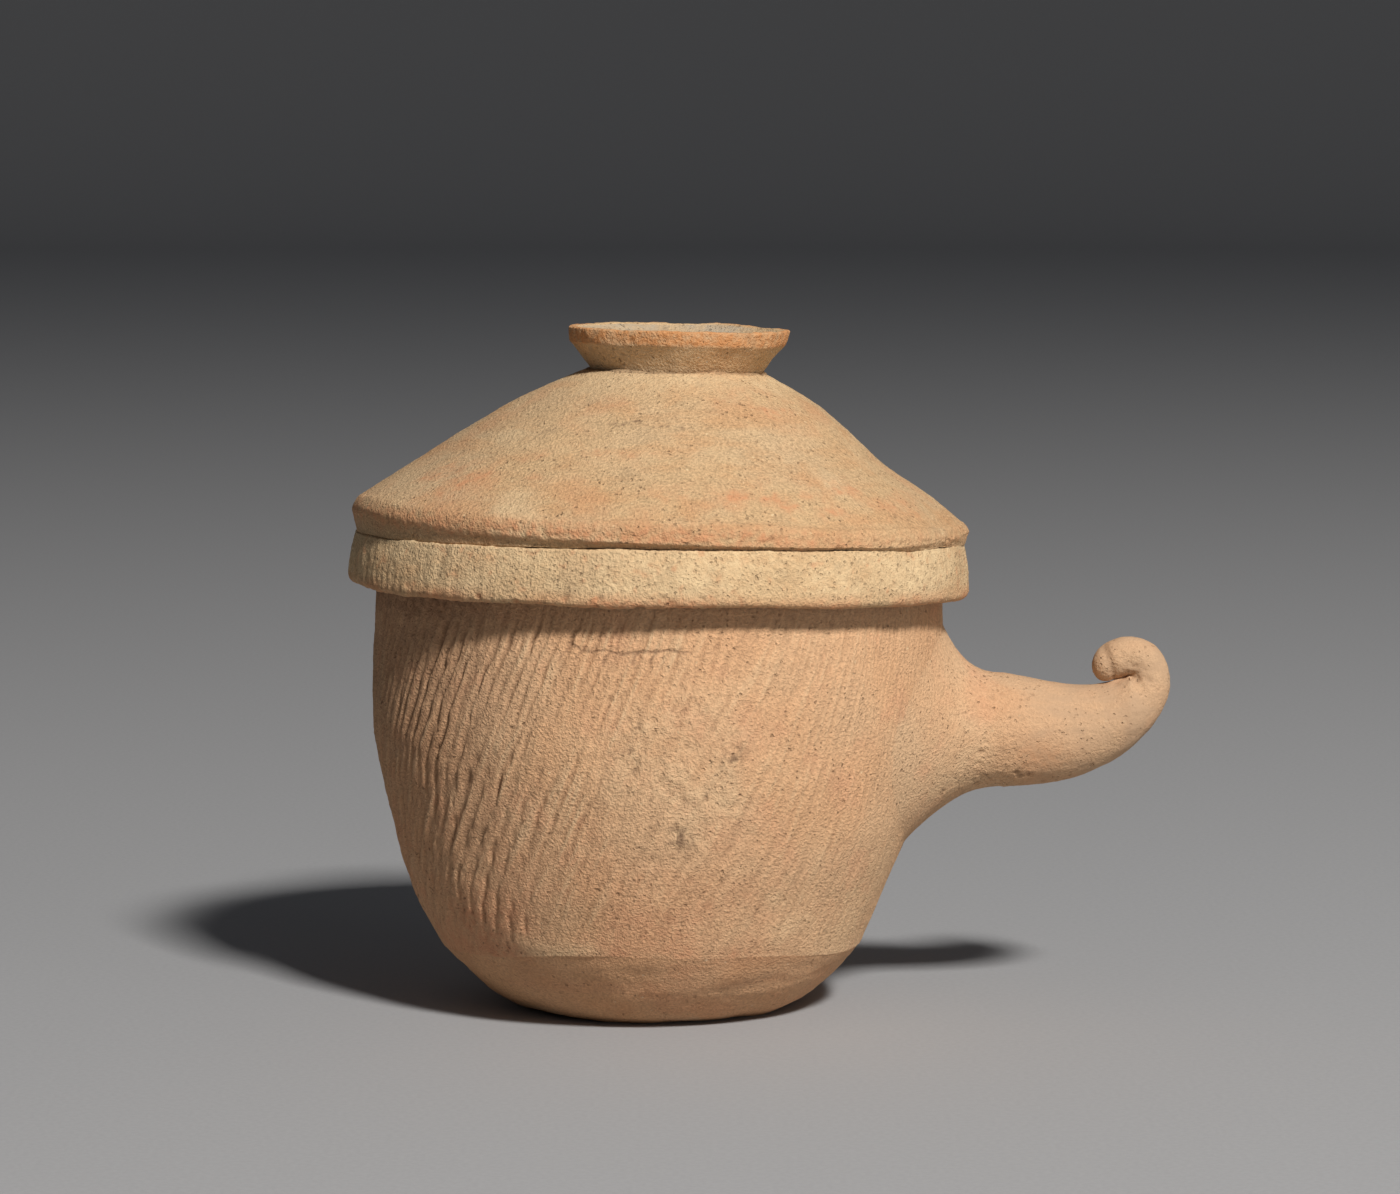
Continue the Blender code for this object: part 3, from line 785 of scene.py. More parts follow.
@dataclass(frozen=True)
class CordPaddle:
    """Cord-wrapped paddle that beat the wall and left leaning furrows.

    Blows fall on a staggered grid round the wall, each with some play that is drawn from the seed.
    """

    spacing: float = 3.1 * MM
    spacing_play: Band = (0.8, 1.15)
    half_width: float = 18.0 * MM
    half_length: float = 23.0 * MM
    edge_power: int = 4
    rows: int = 4
    columns: int = 14
    stagger: float = 0.5
    side_play: float = 0.3
    low: float = 12.0 * MM
    high: float = 100.0 * MM
    level_play: Band = (0.2, 0.8)
    lean_turns: tuple[float, ...] = (-180, -75, -45, 0, 25, 45, 62, 100, 180)
    lean_degrees: tuple[float, ...] = (15, 17, 25, 21, 25, 19, 9, 9, 15)
    lean_play: float = 5.0
    sharpness: float = 4.2
    unbeaten: float = 0.2
    cord_play: float = 0.25
    cord_step: float = 2.4
    break_depth: float = 0.55
    break_limits: Band = (0.35, 1.25)
    scratch_lumps: Lumps = Lumps(1.4 * MM, drawn=(1.0, 0.08, 0.0))
    back_fade: Band = (math.pi, 0.9 * math.pi)
    seed: int = 5

    def lean(self, turn: Grid | float) -> Grid:
        """Lean of the cords to the right of upright: most by the front, least by the handle."""
        return np.radians(np.interp(np.degrees(turn), self.lean_turns, self.lean_degrees))

    def along_cords(self, across: Grid, up: Grid, lean: Grid) -> tuple[Grid, Grid]:
        """Distances across the cords and along them: coordinates on the wall, turned by the lean."""
        return across * np.cos(lean) - up * np.sin(lean), across * np.sin(lean) + up * np.cos(lean)

    def scratches(self, turn: Grid, height: Grid, girth: Grid,
                  grain: ClayGrain) -> Grid:
        """Fine scratches along the cords: noise on coordinates that are stretched along their lean.

        Args:
            turn: Angles from the front.
            height: Heights of the points.
            girth: Radius of the wall at the points.
            grain: Noise to use.

        Returns:
            Numbers from about -1 to 1 that fade out at the very back, where the coordinates meet.
        """
        sideways, along = self.along_cords(turn * girth, height, self.lean(turn))
        places = np.stack([sideways, along, along], axis=-1)
        return self.scratch_lumps.over(grain, places) * ease(np.abs(turn), *self.back_fade)

    def furrows(self, turn: Grid, height: Grid, girth: Grid, sway: Grid,
                breaks: Grid) -> Grid:
        """Lay the furrows of all blows, each over the ones before.

        A blow's furrows are a sharpened cosine of the distance across its cords. It covers a soft-edged oval.

        Args:
            turn: Angles from the front.
            height: Heights of the points.
            girth: Radius of the wall at the points.
            sway: Noise that bends the cords.
            breaks: Noise that breaks the furrows along their length.

        Returns:
            Furrow depths from 0 on a crest to 1 in a furrow.
        """
        draws = np.random.default_rng(self.seed)
        depth = np.full(np.broadcast(turn, height, girth).shape, self.unbeaten)
        places = list(itertools.product(range(self.rows), range(self.columns)))
        draws.shuffle(places)
        for row, column in places:
            step = column + self.stagger * (row % 2) + draws.uniform(-self.side_play, self.side_play)
            middle = FULL_TURN * step / self.columns - math.pi
            level = self.low + (self.high - self.low) * (row + draws.uniform(*self.level_play)) / self.rows
            play = math.radians(draws.uniform(-self.lean_play, self.lean_play))
            lean = self.lean(turn_from_front(middle + FRONT)) + play
            across = turn_from_front(turn - middle + FRONT) * girth
            sideways, along = self.along_cords(across, height - level, lean)
            line = sideways / (self.spacing * draws.uniform(*self.spacing_play)) + sway + draws.uniform()
            cord = np.sin(self.cord_step * np.floor(line + 0.5) + column)
            weight = 1.0 - self.cord_play + self.cord_play * cord
            furrow = weight * (0.5 + 0.5 * np.cos(FULL_TURN * line)) ** self.sharpness
            outside = (sideways / self.half_width) ** self.edge_power
            outside = outside + (along / self.half_length) ** self.edge_power
            depth += (furrow - depth) * np.exp(-outside)
        return depth * np.clip(1.0 + self.break_depth * breaks, *self.break_limits)


@dataclass(frozen=True)
class DryingCracks:
    """Fine drying cracks: one along the seam at the front, and short ones that run down from it.

    Turns are angles from the front.
    """

    depth: float = 0.2 * MM
    wander: Lumps = Lumps(4.0 * MM, 0.6 * MM, drawn=(1.0, 1.0, 0.0))
    below_seam: float = 0.6 * MM
    level_width: Band = (0.4 * MM, 0.05 * MM)
    level_turn: float = -0.1
    level_reach: Band = (0.24, 0.17)
    gaps: Lumps = Lumps(5.0 * MM, layers=1, share=(-0.9, -0.3))
    upright_turns: tuple[float, ...] = (-0.31, -0.255, -0.16, -0.06, 0.0)
    upright_width: Band = (0.45 * MM, 0.1 * MM)
    upright_reach: Band = (5.0 * MM, 2.0 * MM)
    upright_lean: float = 0.2
    upright_share: float = 0.8
    shake: float = 0.012
    shake_length: float = 0.9 * MM

    def over(self, body: "JarBody", turn: Grid, height: Grid, points: Grid) -> Grid:
        """Crack depths: thin lines whose distance is eased from their width to their middle.

        Args:
            body: Jar whose wall is cracked.
            turn: Angles from the front.
            height: Heights of the points.
            points: Places of the points.

        Returns:
            Depths from 0 to 1.
        """
        seam, girth = body.seam(turn + FRONT), body.radius(height)
        wander = self.wander.pressed(body.grain, points) - self.below_seam
        level = ease(np.abs(seam + wander - height), *self.level_width)
        level = level * ease(np.abs(turn - self.level_turn), *self.level_reach)
        level = level * self.gaps.eased(body.grain, points)
        across = girth * (turn + self.shake * np.sin(height / self.shake_length))
        upright = np.zeros(points.shape[:-1])
        for place in self.upright_turns:
            away = across - girth * place - self.upright_lean * (height - seam)
            line = ease(np.abs(away), *self.upright_width)
            upright = np.maximum(upright, line * ease(seam - height, *self.upright_reach) * (height < seam))
        return np.maximum(level, self.upright_share * upright)


@dataclass(frozen=True)
class WallWear:
    """Wear of the paddled outside: how its furrows lasted, where it is pitted, bare, flushed and stained, and
    where light and shade are painted on it.

    Turns are angles from the front.
    """

    # These marks also paint shade on the left side, light on the lower right, highlights on each furrow crest
    # and a shadow band under the lid.
    RECIPE = {
        Mark.HOLLOW: {"furrows": 0.68, "scratches": 0.3, "pits": 1.1, "big_pits": 0.9, "cracks": 0.8},
        Mark.WORN_AND_SHADE_TINT: {"burr": 0.3, "low_red": 0.5, "painted_left_shade": 0.3},
        Mark.BARE_AND_LIGHT: {"bare": 0.5, "painted_low_light": 0.35, "pale_burr": 0.6, "painted_crest_highlights": 0.6},
        Mark.STAIN_AND_SHADE: {"smudges": 0.75, "cracks": 0.3, "painted_upper_left_shade": 0.32, "painted_lid_shadow": 0.24},
    }

    kept_turns: tuple[float, ...] = (-180, -90, -70, -30, -8, 15, 45, 62, 75, 120, 180)
    kept_shares: tuple[float, ...] = (0.8, 0.9, 1.05, 1.25, 1.0, 0.6, 0.65, 0.5, 0.3, 0.75, 0.8)
    kept_most: float = 1.3
    kept_drift: Lumps = Lumps(22.0 * MM, 0.2)
    root_squash: float = 1.35
    root_fade: Band = (26.0 * MM, 43.0 * MM)
    top_fade: Band = (91.0 * MM, 84.0 * MM)
    ridge_fade: Band = (1.0 * MM, 9.0 * MM)
    low_kept: float = 0.6
    low_fade: Band = (24.0 * MM, 48.0 * MM)
    rubbed: Patch = Patch(0.12, 52.0 * MM, 0.30, 19.0 * MM, 0.75)
    smeared: Patch = Patch(-0.28, 66.0 * MM, 0.14, 8.0 * MM, 0.7)
    cord_bend: Lumps = Lumps(20.0 * MM, 0.35)
    cord_jitter: Lumps = Lumps(3.2 * MM, 0.13, layers=1)
    cord_breaks: Lumps = Lumps(4.0 * MM)
    bare: Patch = Patch(0.10, 54.0 * MM, 0.34, 20.0 * MM)
    bare_share: float = 0.75
    bare_lumps: Lumps = Lumps(9.0 * MM, 0.9, layers=3)
    bare_dents: float = 0.25 * MM
    pits: Pitting = Pitting(2.8 * MM, 0.95 * MM, 0.38, 0.45 * MM)
    pits_least: float = 0.25
    big_pits: Pitting = Pitting(17.0 * MM, 1.9 * MM, 0.22, 0.5 * MM, shift=0.5)
    swell: Lumps = Lumps(16.0 * MM, 0.22 * MM)
    sand: Lumps = Lumps(1.5 * MM, 0.04 * MM)
    bare_sand: float = 0.14 * MM
    scratch_depth: float = 0.12 * MM
    scratch_beaten: float = 0.13 * MM
    scratch_loss: float = 0.5
    scratch_hollows: Band = (0.2, -0.9)
    scratch_crests: Band = (0.15, 0.7)
    calm_least: float = 0.2
    calm_band: Band = (0.0, 4.0 * MM)
    ragged: Lumps = Lumps(8.0 * MM, 0.16 * MM, layers=3, share=(-0.3, 0.5))
    ragged_band: Band = (1.8 * MM, 0.3 * MM)
    burr_band: Band = (4.0 * MM, 0.5 * MM)
    burr_lumps: Lumps = Lumps(12.0 * MM, share=(0.0, 0.6))
    pale_burr: float = -0.35
    pale_burr_width: float = 0.3
    # Painted shade on the left side, away from the key light, darker higher up.
    shade_start: Band = (-0.35, -0.85)
    shade_end: Band = (-2.6, -2.0)
    upper_left_shade_band: Band = (35.0 * MM, 75.0 * MM)
    red_band: Band = (52.0 * MM, 22.0 * MM)
    red_lumps: Lumps = Lumps(14.0 * MM, layers=3, share=(-0.6, 0.5))
    red_turns: Band = (1.1, 0.3)
    red_back: float = -2.6
    # Painted light on the lower right, towards the key light.
    painted_light_start: Band = (0.1, 0.6)
    painted_light_end: Band = (1.6, 1.1)
    painted_light_band: Band = (52.0 * MM, 28.0 * MM)
    smudges: tuple[Patch, ...] = (
        Patch(0.10, 43.4 * MM, 0.06, 3.0 * MM), Patch(0.285, 60.0 * MM, 0.045, 3.6 * MM),
    )
    root_smudge: Patch = Patch(-14.0 * MM, 46.0 * MM, 9.0 * MM, 7.0 * MM, 0.6)
    smudge_lumps: Lumps = Lumps(1.7 * MM, share=(-0.25, 0.45))
    # Painted shadow band just under the lid's skirt, where the skirt's shadow falls.
    painted_lid_shadow: Band = (84.5 * MM, 89.0 * MM)


@dataclass(frozen=True)
class FootWear:
    """Wear of the trimmed foot: knife marks, facets, pits, and scuffs low down."""

    RECIPE = {
        Mark.HOLLOW: {"pits": 0.8},
        Mark.WORN_AND_SHADE_TINT: {"facets": 0.3},
        Mark.BARE_AND_LIGHT: {"scuffs": 0.5},
        Mark.STAIN_AND_SHADE: {"stains": 0.12},
    }

    knife: Lumps = Lumps(2.4 * MM, 0.13 * MM, drawn=(0.16, 0.16, 1.0))
    facets: Lumps = Lumps(15.0 * MM, 0.28 * MM, share=(0.1, 0.8))
    pits: Pitting = Pitting(5.0 * MM, 0.9 * MM, 0.25, 0.3 * MM)
    sand: Lumps = Lumps(1.6 * MM, 0.05 * MM)
    ridge_loss: float = 0.8
    ridge_band: Band = (4.0 * MM, 0.0)
    scuff_band: Band = (5.0 * MM, 0.5 * MM)
    scuffs: Lumps = Lumps(6.0 * MM, layers=3, share=(0.1, 0.7))
    stains: Lumps = Lumps(14.0 * MM, layers=3, share=(0.2, 0.9))


@dataclass(frozen=True)
class InsideWear:
    """Wear of the inside: dents from the potter's anvil, level wipe lines and dust in the dents."""

    dents: Lumps = Lumps(21.0 * MM, 0.45 * MM, share=(0.1, -0.6))
    wipes: Lumps = Lumps(3.0 * MM, 0.08 * MM, drawn=(0.1, 0.1, 1.0))
    dust: float = 0.5


@dataclass
class JarBody:
    """Jar without its handle: trimmed foot, cord-paddled wall and mouth coil."""

    ridge_radius: float
    ridge_height: float
    belly_radius: float
    joint_height: float
    rest_radius: float = 25.2 * MM
    rest_share: float = 0.97
    foot_power: float = 0.58
    foot_swell: float = 0.2 * MM
    foot_crowding: float = 2.2
    trim_bulge: float = 0.5 * MM
    edge_round: float = 0.1 * MM
    edge_reach: float = 2.2 * MM
    floor_thickness: float = 8.0 * MM
    floor_power: float = 4.0
    ridge_step: float = 0.35 * MM
    ridge_front: float = 3.4 * MM
    ridge_back: float = 1.6 * MM
    ridge_waves: tuple[Triple, ...] = ((0.35 * MM, 3.0, 0.6), (0.25 * MM, 7.0, 2.0))
    belly_height: float = 71.0 * MM
    belly_power: float = 1.85
    bow: float = 1.5 * MM
    bow_height: float = 24.0 * MM
    bow_width: float = 14.0 * MM
    leans: tuple[Triple, ...] = ((0.9 * MM, 60.0 * MM, 85.0 * MM), (0.4 * MM, 85.0 * MM, 106.0 * MM))
    out_of_round: tuple[Triple, ...] = ((0.2 * MM, 2.0, 0.9), (0.15 * MM, 3.0, 2.1))
    wall_thickness: float = 6.0 * MM
    mouth_inset: float = 1.5 * MM
    mouth_proud: float = 0.12 * MM
    lip_height: float = 105.7 * MM
    lip_round: float = 1.8 * MM
    seam_lift: float = 1.2 * MM
    seam_waves: tuple[Triple, ...] = (
        (0.3 * MM, 9.0, 0.4), (0.2 * MM, 23.0, 0.0), (0.15 * MM, 41.0, 1.0), (0.12 * MM, 97.0, 0.0),
    )
    lap: float = 0.6 * MM
    handle_height: float = 59.3 * MM
    furrow_depth: float = 0.68 * MM
    columns: int = 860
    wall_rows: int = 100
    edge_rows: int = 4
    wall_edge: Band = (0.985, 0.991)
    mouth_edge: Band = (0.05, 0.08)
    mouth_rows: int = 24
    lip_rows: int = 9
    inner_rows: int = 9
    mouth_inner_rows: int = 10
    rest_rows: int = 12
    flare_rows: int = 44
    floor_rows: int = 20
    crowding: float = 0.33
    seed: int = 3
    paddle: CordPaddle = CordPaddle()
    cracks: DryingCracks = DryingCracks()
    wall_wear: WallWear = WallWear()
    foot_wear: FootWear = FootWear()
    inside_wear: InsideWear = InsideWear()

    @classmethod
    def measured(cls) -> "JarBody":
        """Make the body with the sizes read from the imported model.

        Returns:
            The measured body.
        """
        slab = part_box("base_slab")[1]
        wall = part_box("jar_wall")[1]
        rim = slab.x + cls.trim_bulge
        return cls(ridge_radius=rim, ridge_height=slab.z, belly_radius=wall.y, joint_height=wall.z)

    def __post_init__(self) -> None:
        """Start the grain of this body."""
        self.grain = ClayGrain(self.seed)

    def radius(self, height: Grid) -> Grid:
        """Radius of the skin: a powered curve from the ridge to the belly, then a slow one in to the lip.

        Args:
            height: Heights above the table.

        Returns:
            Radii at the heights.
        """
        below = np.clip((self.belly_height - height) / (self.belly_height - self.ridge_height), 0.0, None)
        above = np.clip((height - self.belly_height) / (self.lip_height - self.belly_height), 0.0, None)
        spread_out = self.belly_radius - self.ridge_radius - self.ridge_step
        return self.belly_radius - spread_out * below**self.belly_power - self.mouth_inset * above**2

    def sway(self, height: Grid) -> Grid:
        """Sideways drift of the centre: a bow to the left low down, then eased leans to the handle.

        Args:
            height: Heights above the table.

        Returns:
            Distances towards the handle.
        """
        drift = -self.bow * bell(height, self.bow_height, self.bow_width)
        for amount, start, end in self.leans:
            drift = drift + amount * ease(height, start, end)
        return drift

    def ridge(self, angle: Grid) -> Grid:
        """Height of the trimmed ridge: the knife ran higher at the front and a little higher at the back.

        Args:
            angle: Angles round the jar.

        Returns:
            Heights above the table.
        """
        back, front = two_sides(angle)
        lift = self.ridge_front * front + self.ridge_back * back
        return self.ridge_height + lift + waves(angle, self.ridge_waves)

    def seam(self, angle: Grid) -> Grid:
        """Height of the wavy seam between the wall and the mouth coil."""
        return self.joint_height + self.seam_lift + waves(angle, self.seam_waves)

    def uneven(self, angle: Grid) -> Grid:
        """How far the hand-built body is out of round: two slow waves."""
        return waves(angle, self.out_of_round)

    def skin(self, angle: Grid, height: Grid, inset: Grid | float = 0.0) -> Grid:
        """Points of the skin, or of a face that lies inside it.

        Args:
            angle: Angles round the jar.
            height: Heights above the table.
            inset: How far inside the skin the face lies.

        Returns:
            Points with three coordinates in the last axis.
        """
        radius = self.radius(height) - inset + self.uneven(angle)
        x = radius * np.cos(angle) + self.sway(height)
        return np.stack(np.broadcast_arrays(x, radius * np.sin(angle), height), axis=-1)

    def face_x(self, y: Grid, z: Grid) -> Grid:
        """How far out along the handle the smooth skin lies at places on its face."""
        return np.sqrt(self.radius(z) ** 2 - y**2) + self.sway(z)

    def furrow_strength(self, turn: Grid, height: Grid, points: Grid) -> Grid:
        """How well the cord furrows have lasted: best on the left, rubbed at the front and by the handle.

        Args:
            turn: Angles from the front.
            height: Heights of the points.
            points: Places of the points.

        Returns:
            Shares from 0 to 1.
        """
        wear = self.wall_wear
        kept = np.interp(np.degrees(turn), wear.kept_turns, wear.kept_shares)
        kept = kept * (1.0 + wear.kept_drift.pressed(self.grain, points))
        # Points on the side away from the handle count as a metre further from its root.
        far_side = points[..., 0] < 0.0
        root = np.hypot(points[..., 1] / wear.root_squash, points[..., 2] - self.handle_height) + far_side
        kept = kept * ease(root, *wear.root_fade) * ease(height, *wear.top_fade)
        low = wear.low_kept + (1.0 - wear.low_kept) * ease(height, *wear.low_fade)
        kept = kept * ease(height - self.ridge(turn + FRONT), *wear.ridge_fade) * low
        kept = kept * (1.0 - wear.rubbed.over(turn, height)) * (1.0 - wear.smeared.over(turn, height))
        return np.clip(kept, 0.0, wear.kept_most)

    def wall_relief(self, turn: Grid, height: Grid,
                    points: Grid) -> tuple[Grid, dict[Mark, Grid]]:
        """Relief and marks of the paddled outside: furrows, scratches, sand, pits and cracks by their depths.

        Args:
            turn: Angles from the front.
            height: Heights of the points.
            points: Places of the points.

        Returns:
            Heights of the relief, and the marks.
        """
        grain, wear, girth = self.grain, self.wall_wear, self.radius(height)
        strength = self.furrow_strength(turn, height, points)
        bend = wear.cord_bend.pressed(grain, points) + wear.cord_jitter.pressed(grain, points)
        breaks = wear.cord_breaks.over(grain, points)
        furrows = strength * self.paddle.furrows(turn, height, girth, bend, breaks)
        rough = wear.bare_share + wear.bare_lumps.pressed(grain, points)
        bare = np.clip(wear.bare.over(turn, height) * rough, 0.0, 1.0)
        pits = wear.pits.over(grain, points) * (wear.pits_least + (1.0 - wear.pits_least) * bare)
        big_pits = wear.big_pits.over(grain, points)
        scratches = self.paddle.scratches(turn, height, girth, grain) * (1.0 - wear.scratch_loss * bare)
        cracks = self.cracks.over(self, turn, height, points)
        relief = wear.swell.pressed(grain, points) - self.furrow_depth * furrows
        relief += (wear.scratch_depth + wear.scratch_beaten * strength) * scratches
        relief += (wear.sand.depth + wear.bare_sand * bare) * wear.sand.over(grain, points)
        relief -= wear.bare_dents * bare * breaks
        relief -= wear.pits.depth * pits + wear.big_pits.depth * big_pits
        above_ridge = height - self.ridge(turn + FRONT)
        relief *= wear.calm_least + (1.0 - wear.calm_least) * ease(above_ridge, *wear.calm_band)
        ragged = ease(above_ridge, *wear.ragged_band) * wear.ragged.eased(grain, points)
        relief += wear.ragged.depth * ragged - self.cracks.depth * cracks
        layers = self.wall_tones(turn, height, points)
        layers["furrows"] = furrows
        layers["scratches"] = ease(scratches, *wear.scratch_hollows)
        # Painted highlights on each crest between the furrows.
        layers["painted_crest_highlights"] = strength * ease(scratches, *wear.scratch_crests) * (1.0 - furrows)
        layers.update(pits=pits, big_pits=big_pits, cracks=cracks, bare=bare)
        return relief, mixed(wear.RECIPE, layers)

    def wall_tones(self, turn: Grid, height: Grid, points: Grid) -> dict[str, Grid]:
        """Patches of tone on the outside, and painted light and shade, each a product of eased bands round the
        wall and up it.

        Args:
            turn: Angles from the front.
            height: Heights of the points.
            points: Places of the points.

        Returns:
            The burr over the ridge, painted shade on the left, the red foot of the wall, painted light on its
            lower right, smudges, and a painted shadow band under the lid.
        """
        grain, wear = self.grain, self.wall_wear
        burr = ease(height - self.ridge(turn + FRONT), *wear.burr_band)
        # Painted shade on the left side, away from the key light, with a darker part higher up.
        painted_left_shade = ease(turn, *wear.shade_start) * ease(turn, *wear.shade_end)
        low_red = ease(height, *wear.red_band) * wear.red_lumps.eased(grain, points)
        # Painted light on the lower right, where the key light falls.
        painted_low_light = ease(turn, *wear.painted_light_start) * ease(turn, *wear.painted_light_end)
        smudge = sum(patch.over(turn, height) for patch in wear.smudges)
        smudge = smudge + wear.root_smudge.over(points[..., 1], height) * (points[..., 0] > 0.0)
        return {
            "burr": burr * wear.burr_lumps.eased(grain, points),
            "pale_burr": burr * bell(turn, wear.pale_burr, wear.pale_burr_width),
            "painted_left_shade": painted_left_shade,
            "painted_upper_left_shade": painted_left_shade * ease(height, *wear.upper_left_shade_band),
            "low_red": low_red * ease(turn, *wear.red_turns) * (turn > wear.red_back),
            "painted_low_light": painted_low_light * ease(height, *wear.painted_light_band),
            "smudges": smudge * wear.smudge_lumps.eased(grain, points),
            # Painted shadow band under the lid.
            "painted_lid_shadow": ease(height, *wear.painted_lid_shadow),
        }

    def inside_relief(self, points: Grid) -> tuple[Grid, dict[Mark, Grid]]:
        """Relief and marks of the inside: anvil dents and wipe lines, each times its depth, and dust.

        Args:
            points: Places of the points.

        Returns:
            Heights of the relief, and the marks.
        """
        wear = self.inside_wear
        dents = wear.dents.over(self.grain, points)
        relief = wear.dents.depth * dents + wear.wipes.pressed(self.grain, points)
        marks = {mark: np.zeros_like(dents) for mark in (Mark.WORN_AND_SHADE_TINT, Mark.BARE_AND_LIGHT, Mark.STAIN_AND_SHADE)}
        marks[Mark.HOLLOW] = wear.dust * ease(dents, *wear.dents.share)
        return relief, marks

    def joined(self, outside: Grid, inside: Grid, turn: Grid) -> ClaySurface:
        """Join an outside and an inside face into a closed ring and press their relief into it.

        Args:
            outside: Points of the outside, from bottom to top.
            inside: Points of the inside, from top to bottom.
            turn: Angles from the front.

        Returns:
            The finished surface.
        """
        outer, inner = ClaySurface(outside, ring=False), ClaySurface(inside, ring=False)
        outer_relief, outer.marks = self.wall_relief(turn, outside[..., 2], outside)
        inner_relief, inner.marks = self.inside_relief(inside)
        outer.raise_by(outer_relief)
        inner.raise_by(inner_relief)
        marks = {mark: np.concatenate([outer.marks[mark], inner.marks[mark]]) for mark in outer.marks}
        points = np.concatenate([outer.points, inner.points])
        return ClaySurface(points, ring=True, marks=marks, crisp=(0, len(points) - 1))

    def wall(self) -> ClaySurface:
        """Paddled wall: the skin from the ridge to the seam, and a face one wall thickness inside it.

        Returns:
            The finished surface.
        """
        angle = round_angles(self.columns, self.crowding)
        low, high = self.ridge(angle), self.seam(angle)
        last, first = self.wall_edge
        rise = np.concatenate([spread(0.0, last, self.wall_rows), spread(first, 1.0, self.edge_rows)])
        height = low + (high - low) * rise
        turned_under = self.edge_round * ease(height - low, self.edge_reach, 0.0)
        outside = self.skin(angle, height, turned_under)
        inner_height = high + (low - high) * spread(0.0, 1.0, self.inner_rows)
        inside = self.skin(angle, inner_height, self.wall_thickness)
        surface = self.joined(outside, inside, turn_from_front(angle))
        surface.crisp += (len(rise) - 1, len(rise))
        return surface

    def mouth(self) -> ClaySurface:
        """Mouth coil: the skin from the seam to a rounded lip, sheared so that the lip is out of level.

        Returns:
            The finished surface.
        """
        angle = round_angles(self.columns, self.crowding)
        low = self.seam(angle)
        shoulder = self.lip_height - self.lip_round
        last, first = self.mouth_edge
        rise = np.concatenate([spread(0.0, last, self.edge_rows), spread(first, 1.0, self.mouth_rows)])
        height = low + (shoulder - low) * rise
        bend = spread(0.0, math.pi, self.lip_rows)[1:-1]
        middle = 0.5 * self.wall_thickness
        lip_height = shoulder + self.lip_round * np.sin(bend) + 0.0 * angle
        lip_inset = middle - middle * np.cos(bend)
        outside = np.concatenate([self.skin(angle, height), self.skin(angle, lip_height, lip_inset)])
        inner_height = shoulder + (low - self.lap - shoulder) * spread(0.0, 1.0, self.mouth_inner_rows)
        tuck = self.skin(angle, low - self.lap, 2.0 * self.lap)
        proud = self.wall_thickness + self.mouth_proud * ease(inner_height, shoulder, low)
        inside = np.concatenate([self.skin(angle, inner_height, proud), tuck])
        surface = self.joined(outside, inside, turn_from_front(angle))
        surface.crisp += (len(surface.points) - 2,)
        axis = JOINT["axis"]
        x, y, z = np.moveaxis(surface.points, -1, 0)
        dip = (axis[0] * x + axis[1] * y) / axis[2]
        share = np.clip((z - low) / (self.lip_height - low), 0.0, None)
        surface.points[..., 2] -= dip * share
        return surface

    def foot(self) -> ClaySurface:
        """Trimmed foot: a flat rest, a powered flare up to the ridge, and the floor of the jar inside.

        Returns:
            The finished surface.
        """
        angle = round_angles(self.columns, self.crowding)
        top = self.ridge(angle)
        edge = self.radius(top) - self.edge_round + self.uneven(angle)
        flat = self.rest_radius * spread(0.0, self.rest_share, self.rest_rows)
        rise = spread(0.0, 1.0, self.flare_rows) ** self.foot_crowding
        share = rise**self.foot_power
        swell = self.foot_swell * np.sin(math.pi * share)
        flare = self.rest_radius + (edge - self.rest_radius) * share + swell
        inner = edge - self.wall_thickness + self.lap
        tuck = edge - 2.0 * self.lap
        floor_share = spread(1.0, 0.0, self.floor_rows)
        radius = np.concatenate([flat + 0.0 * angle, flare, tuck, inner * floor_share])
        floor = self.floor_thickness + (top + self.lap - self.floor_thickness) * floor_share**self.floor_power
        height = np.concatenate([0.0 * flat + 0.0 * angle, top * rise, top + self.lap, floor])
        x = radius * np.cos(angle) + self.sway(height) * ease(height, 0.0, self.ridge_height)
        surface = ClaySurface(np.stack([x, radius * np.sin(angle), height], axis=-1), ring=False)
        last = len(flat) + len(rise)
        surface.crisp = (last - 1, last, last + 1)
        self.trim(surface, len(flat), last)
        return surface

    def trim(self, surface: ClaySurface, first: int, last: int) -> None:
        """Press knife marks, pits and chips into the foot and set its marks.

        Args:
            surface: Surface of the foot.
            first: First row of the flare.
            last: Row after the flare's last one.
        """
        points, grain, wear = surface.points, self.grain, self.foot_wear
        flare = np.zeros(points.shape[:2])
        flare[first:last] = 1.0
        pits = wear.pits.over(grain, points)
        facets = wear.facets.over(grain, points)
        relief = (wear.knife.pressed(grain, points) + wear.facets.depth * facets) * flare
        relief += wear.sand.pressed(grain, points) - wear.pits.depth * pits
        below_ridge = points[last - 1, :, 2] - points[..., 2]
        relief *= 1.0 - wear.ridge_loss * flare * ease(below_ridge, *wear.ridge_band)
        surface.raise_by(relief)
        surface.points[..., 2] = np.maximum(surface.points[..., 2], 0.0)
        scuffed = ease(points[..., 2], *wear.scuff_band) * flare
        surface.marks = mixed(wear.RECIPE, {
            "pits": pits,
            "facets": ease(facets, *wear.facets.share) * flare,
            "scuffs": scuffed * wear.scuffs.eased(grain, points),
            "stains": wear.stains.eased(grain, points),
        })

    def build(self, workshop: Workshop) -> None:
        """Make the three pieces of the body.

        Args:
            workshop: Workshop that dresses them.
        """
        workshop.settle("foot", self.foot(), Body.JAR, Slot.BASE, ("base_slab",))
        workshop.settle("paddled_wall", self.wall(), Body.JAR, Slot.WALL, ("jar_wall",))
        workshop.settle("mouth_coil", self.mouth(), Body.JAR, Slot.WALL, ("mouth_ring",))


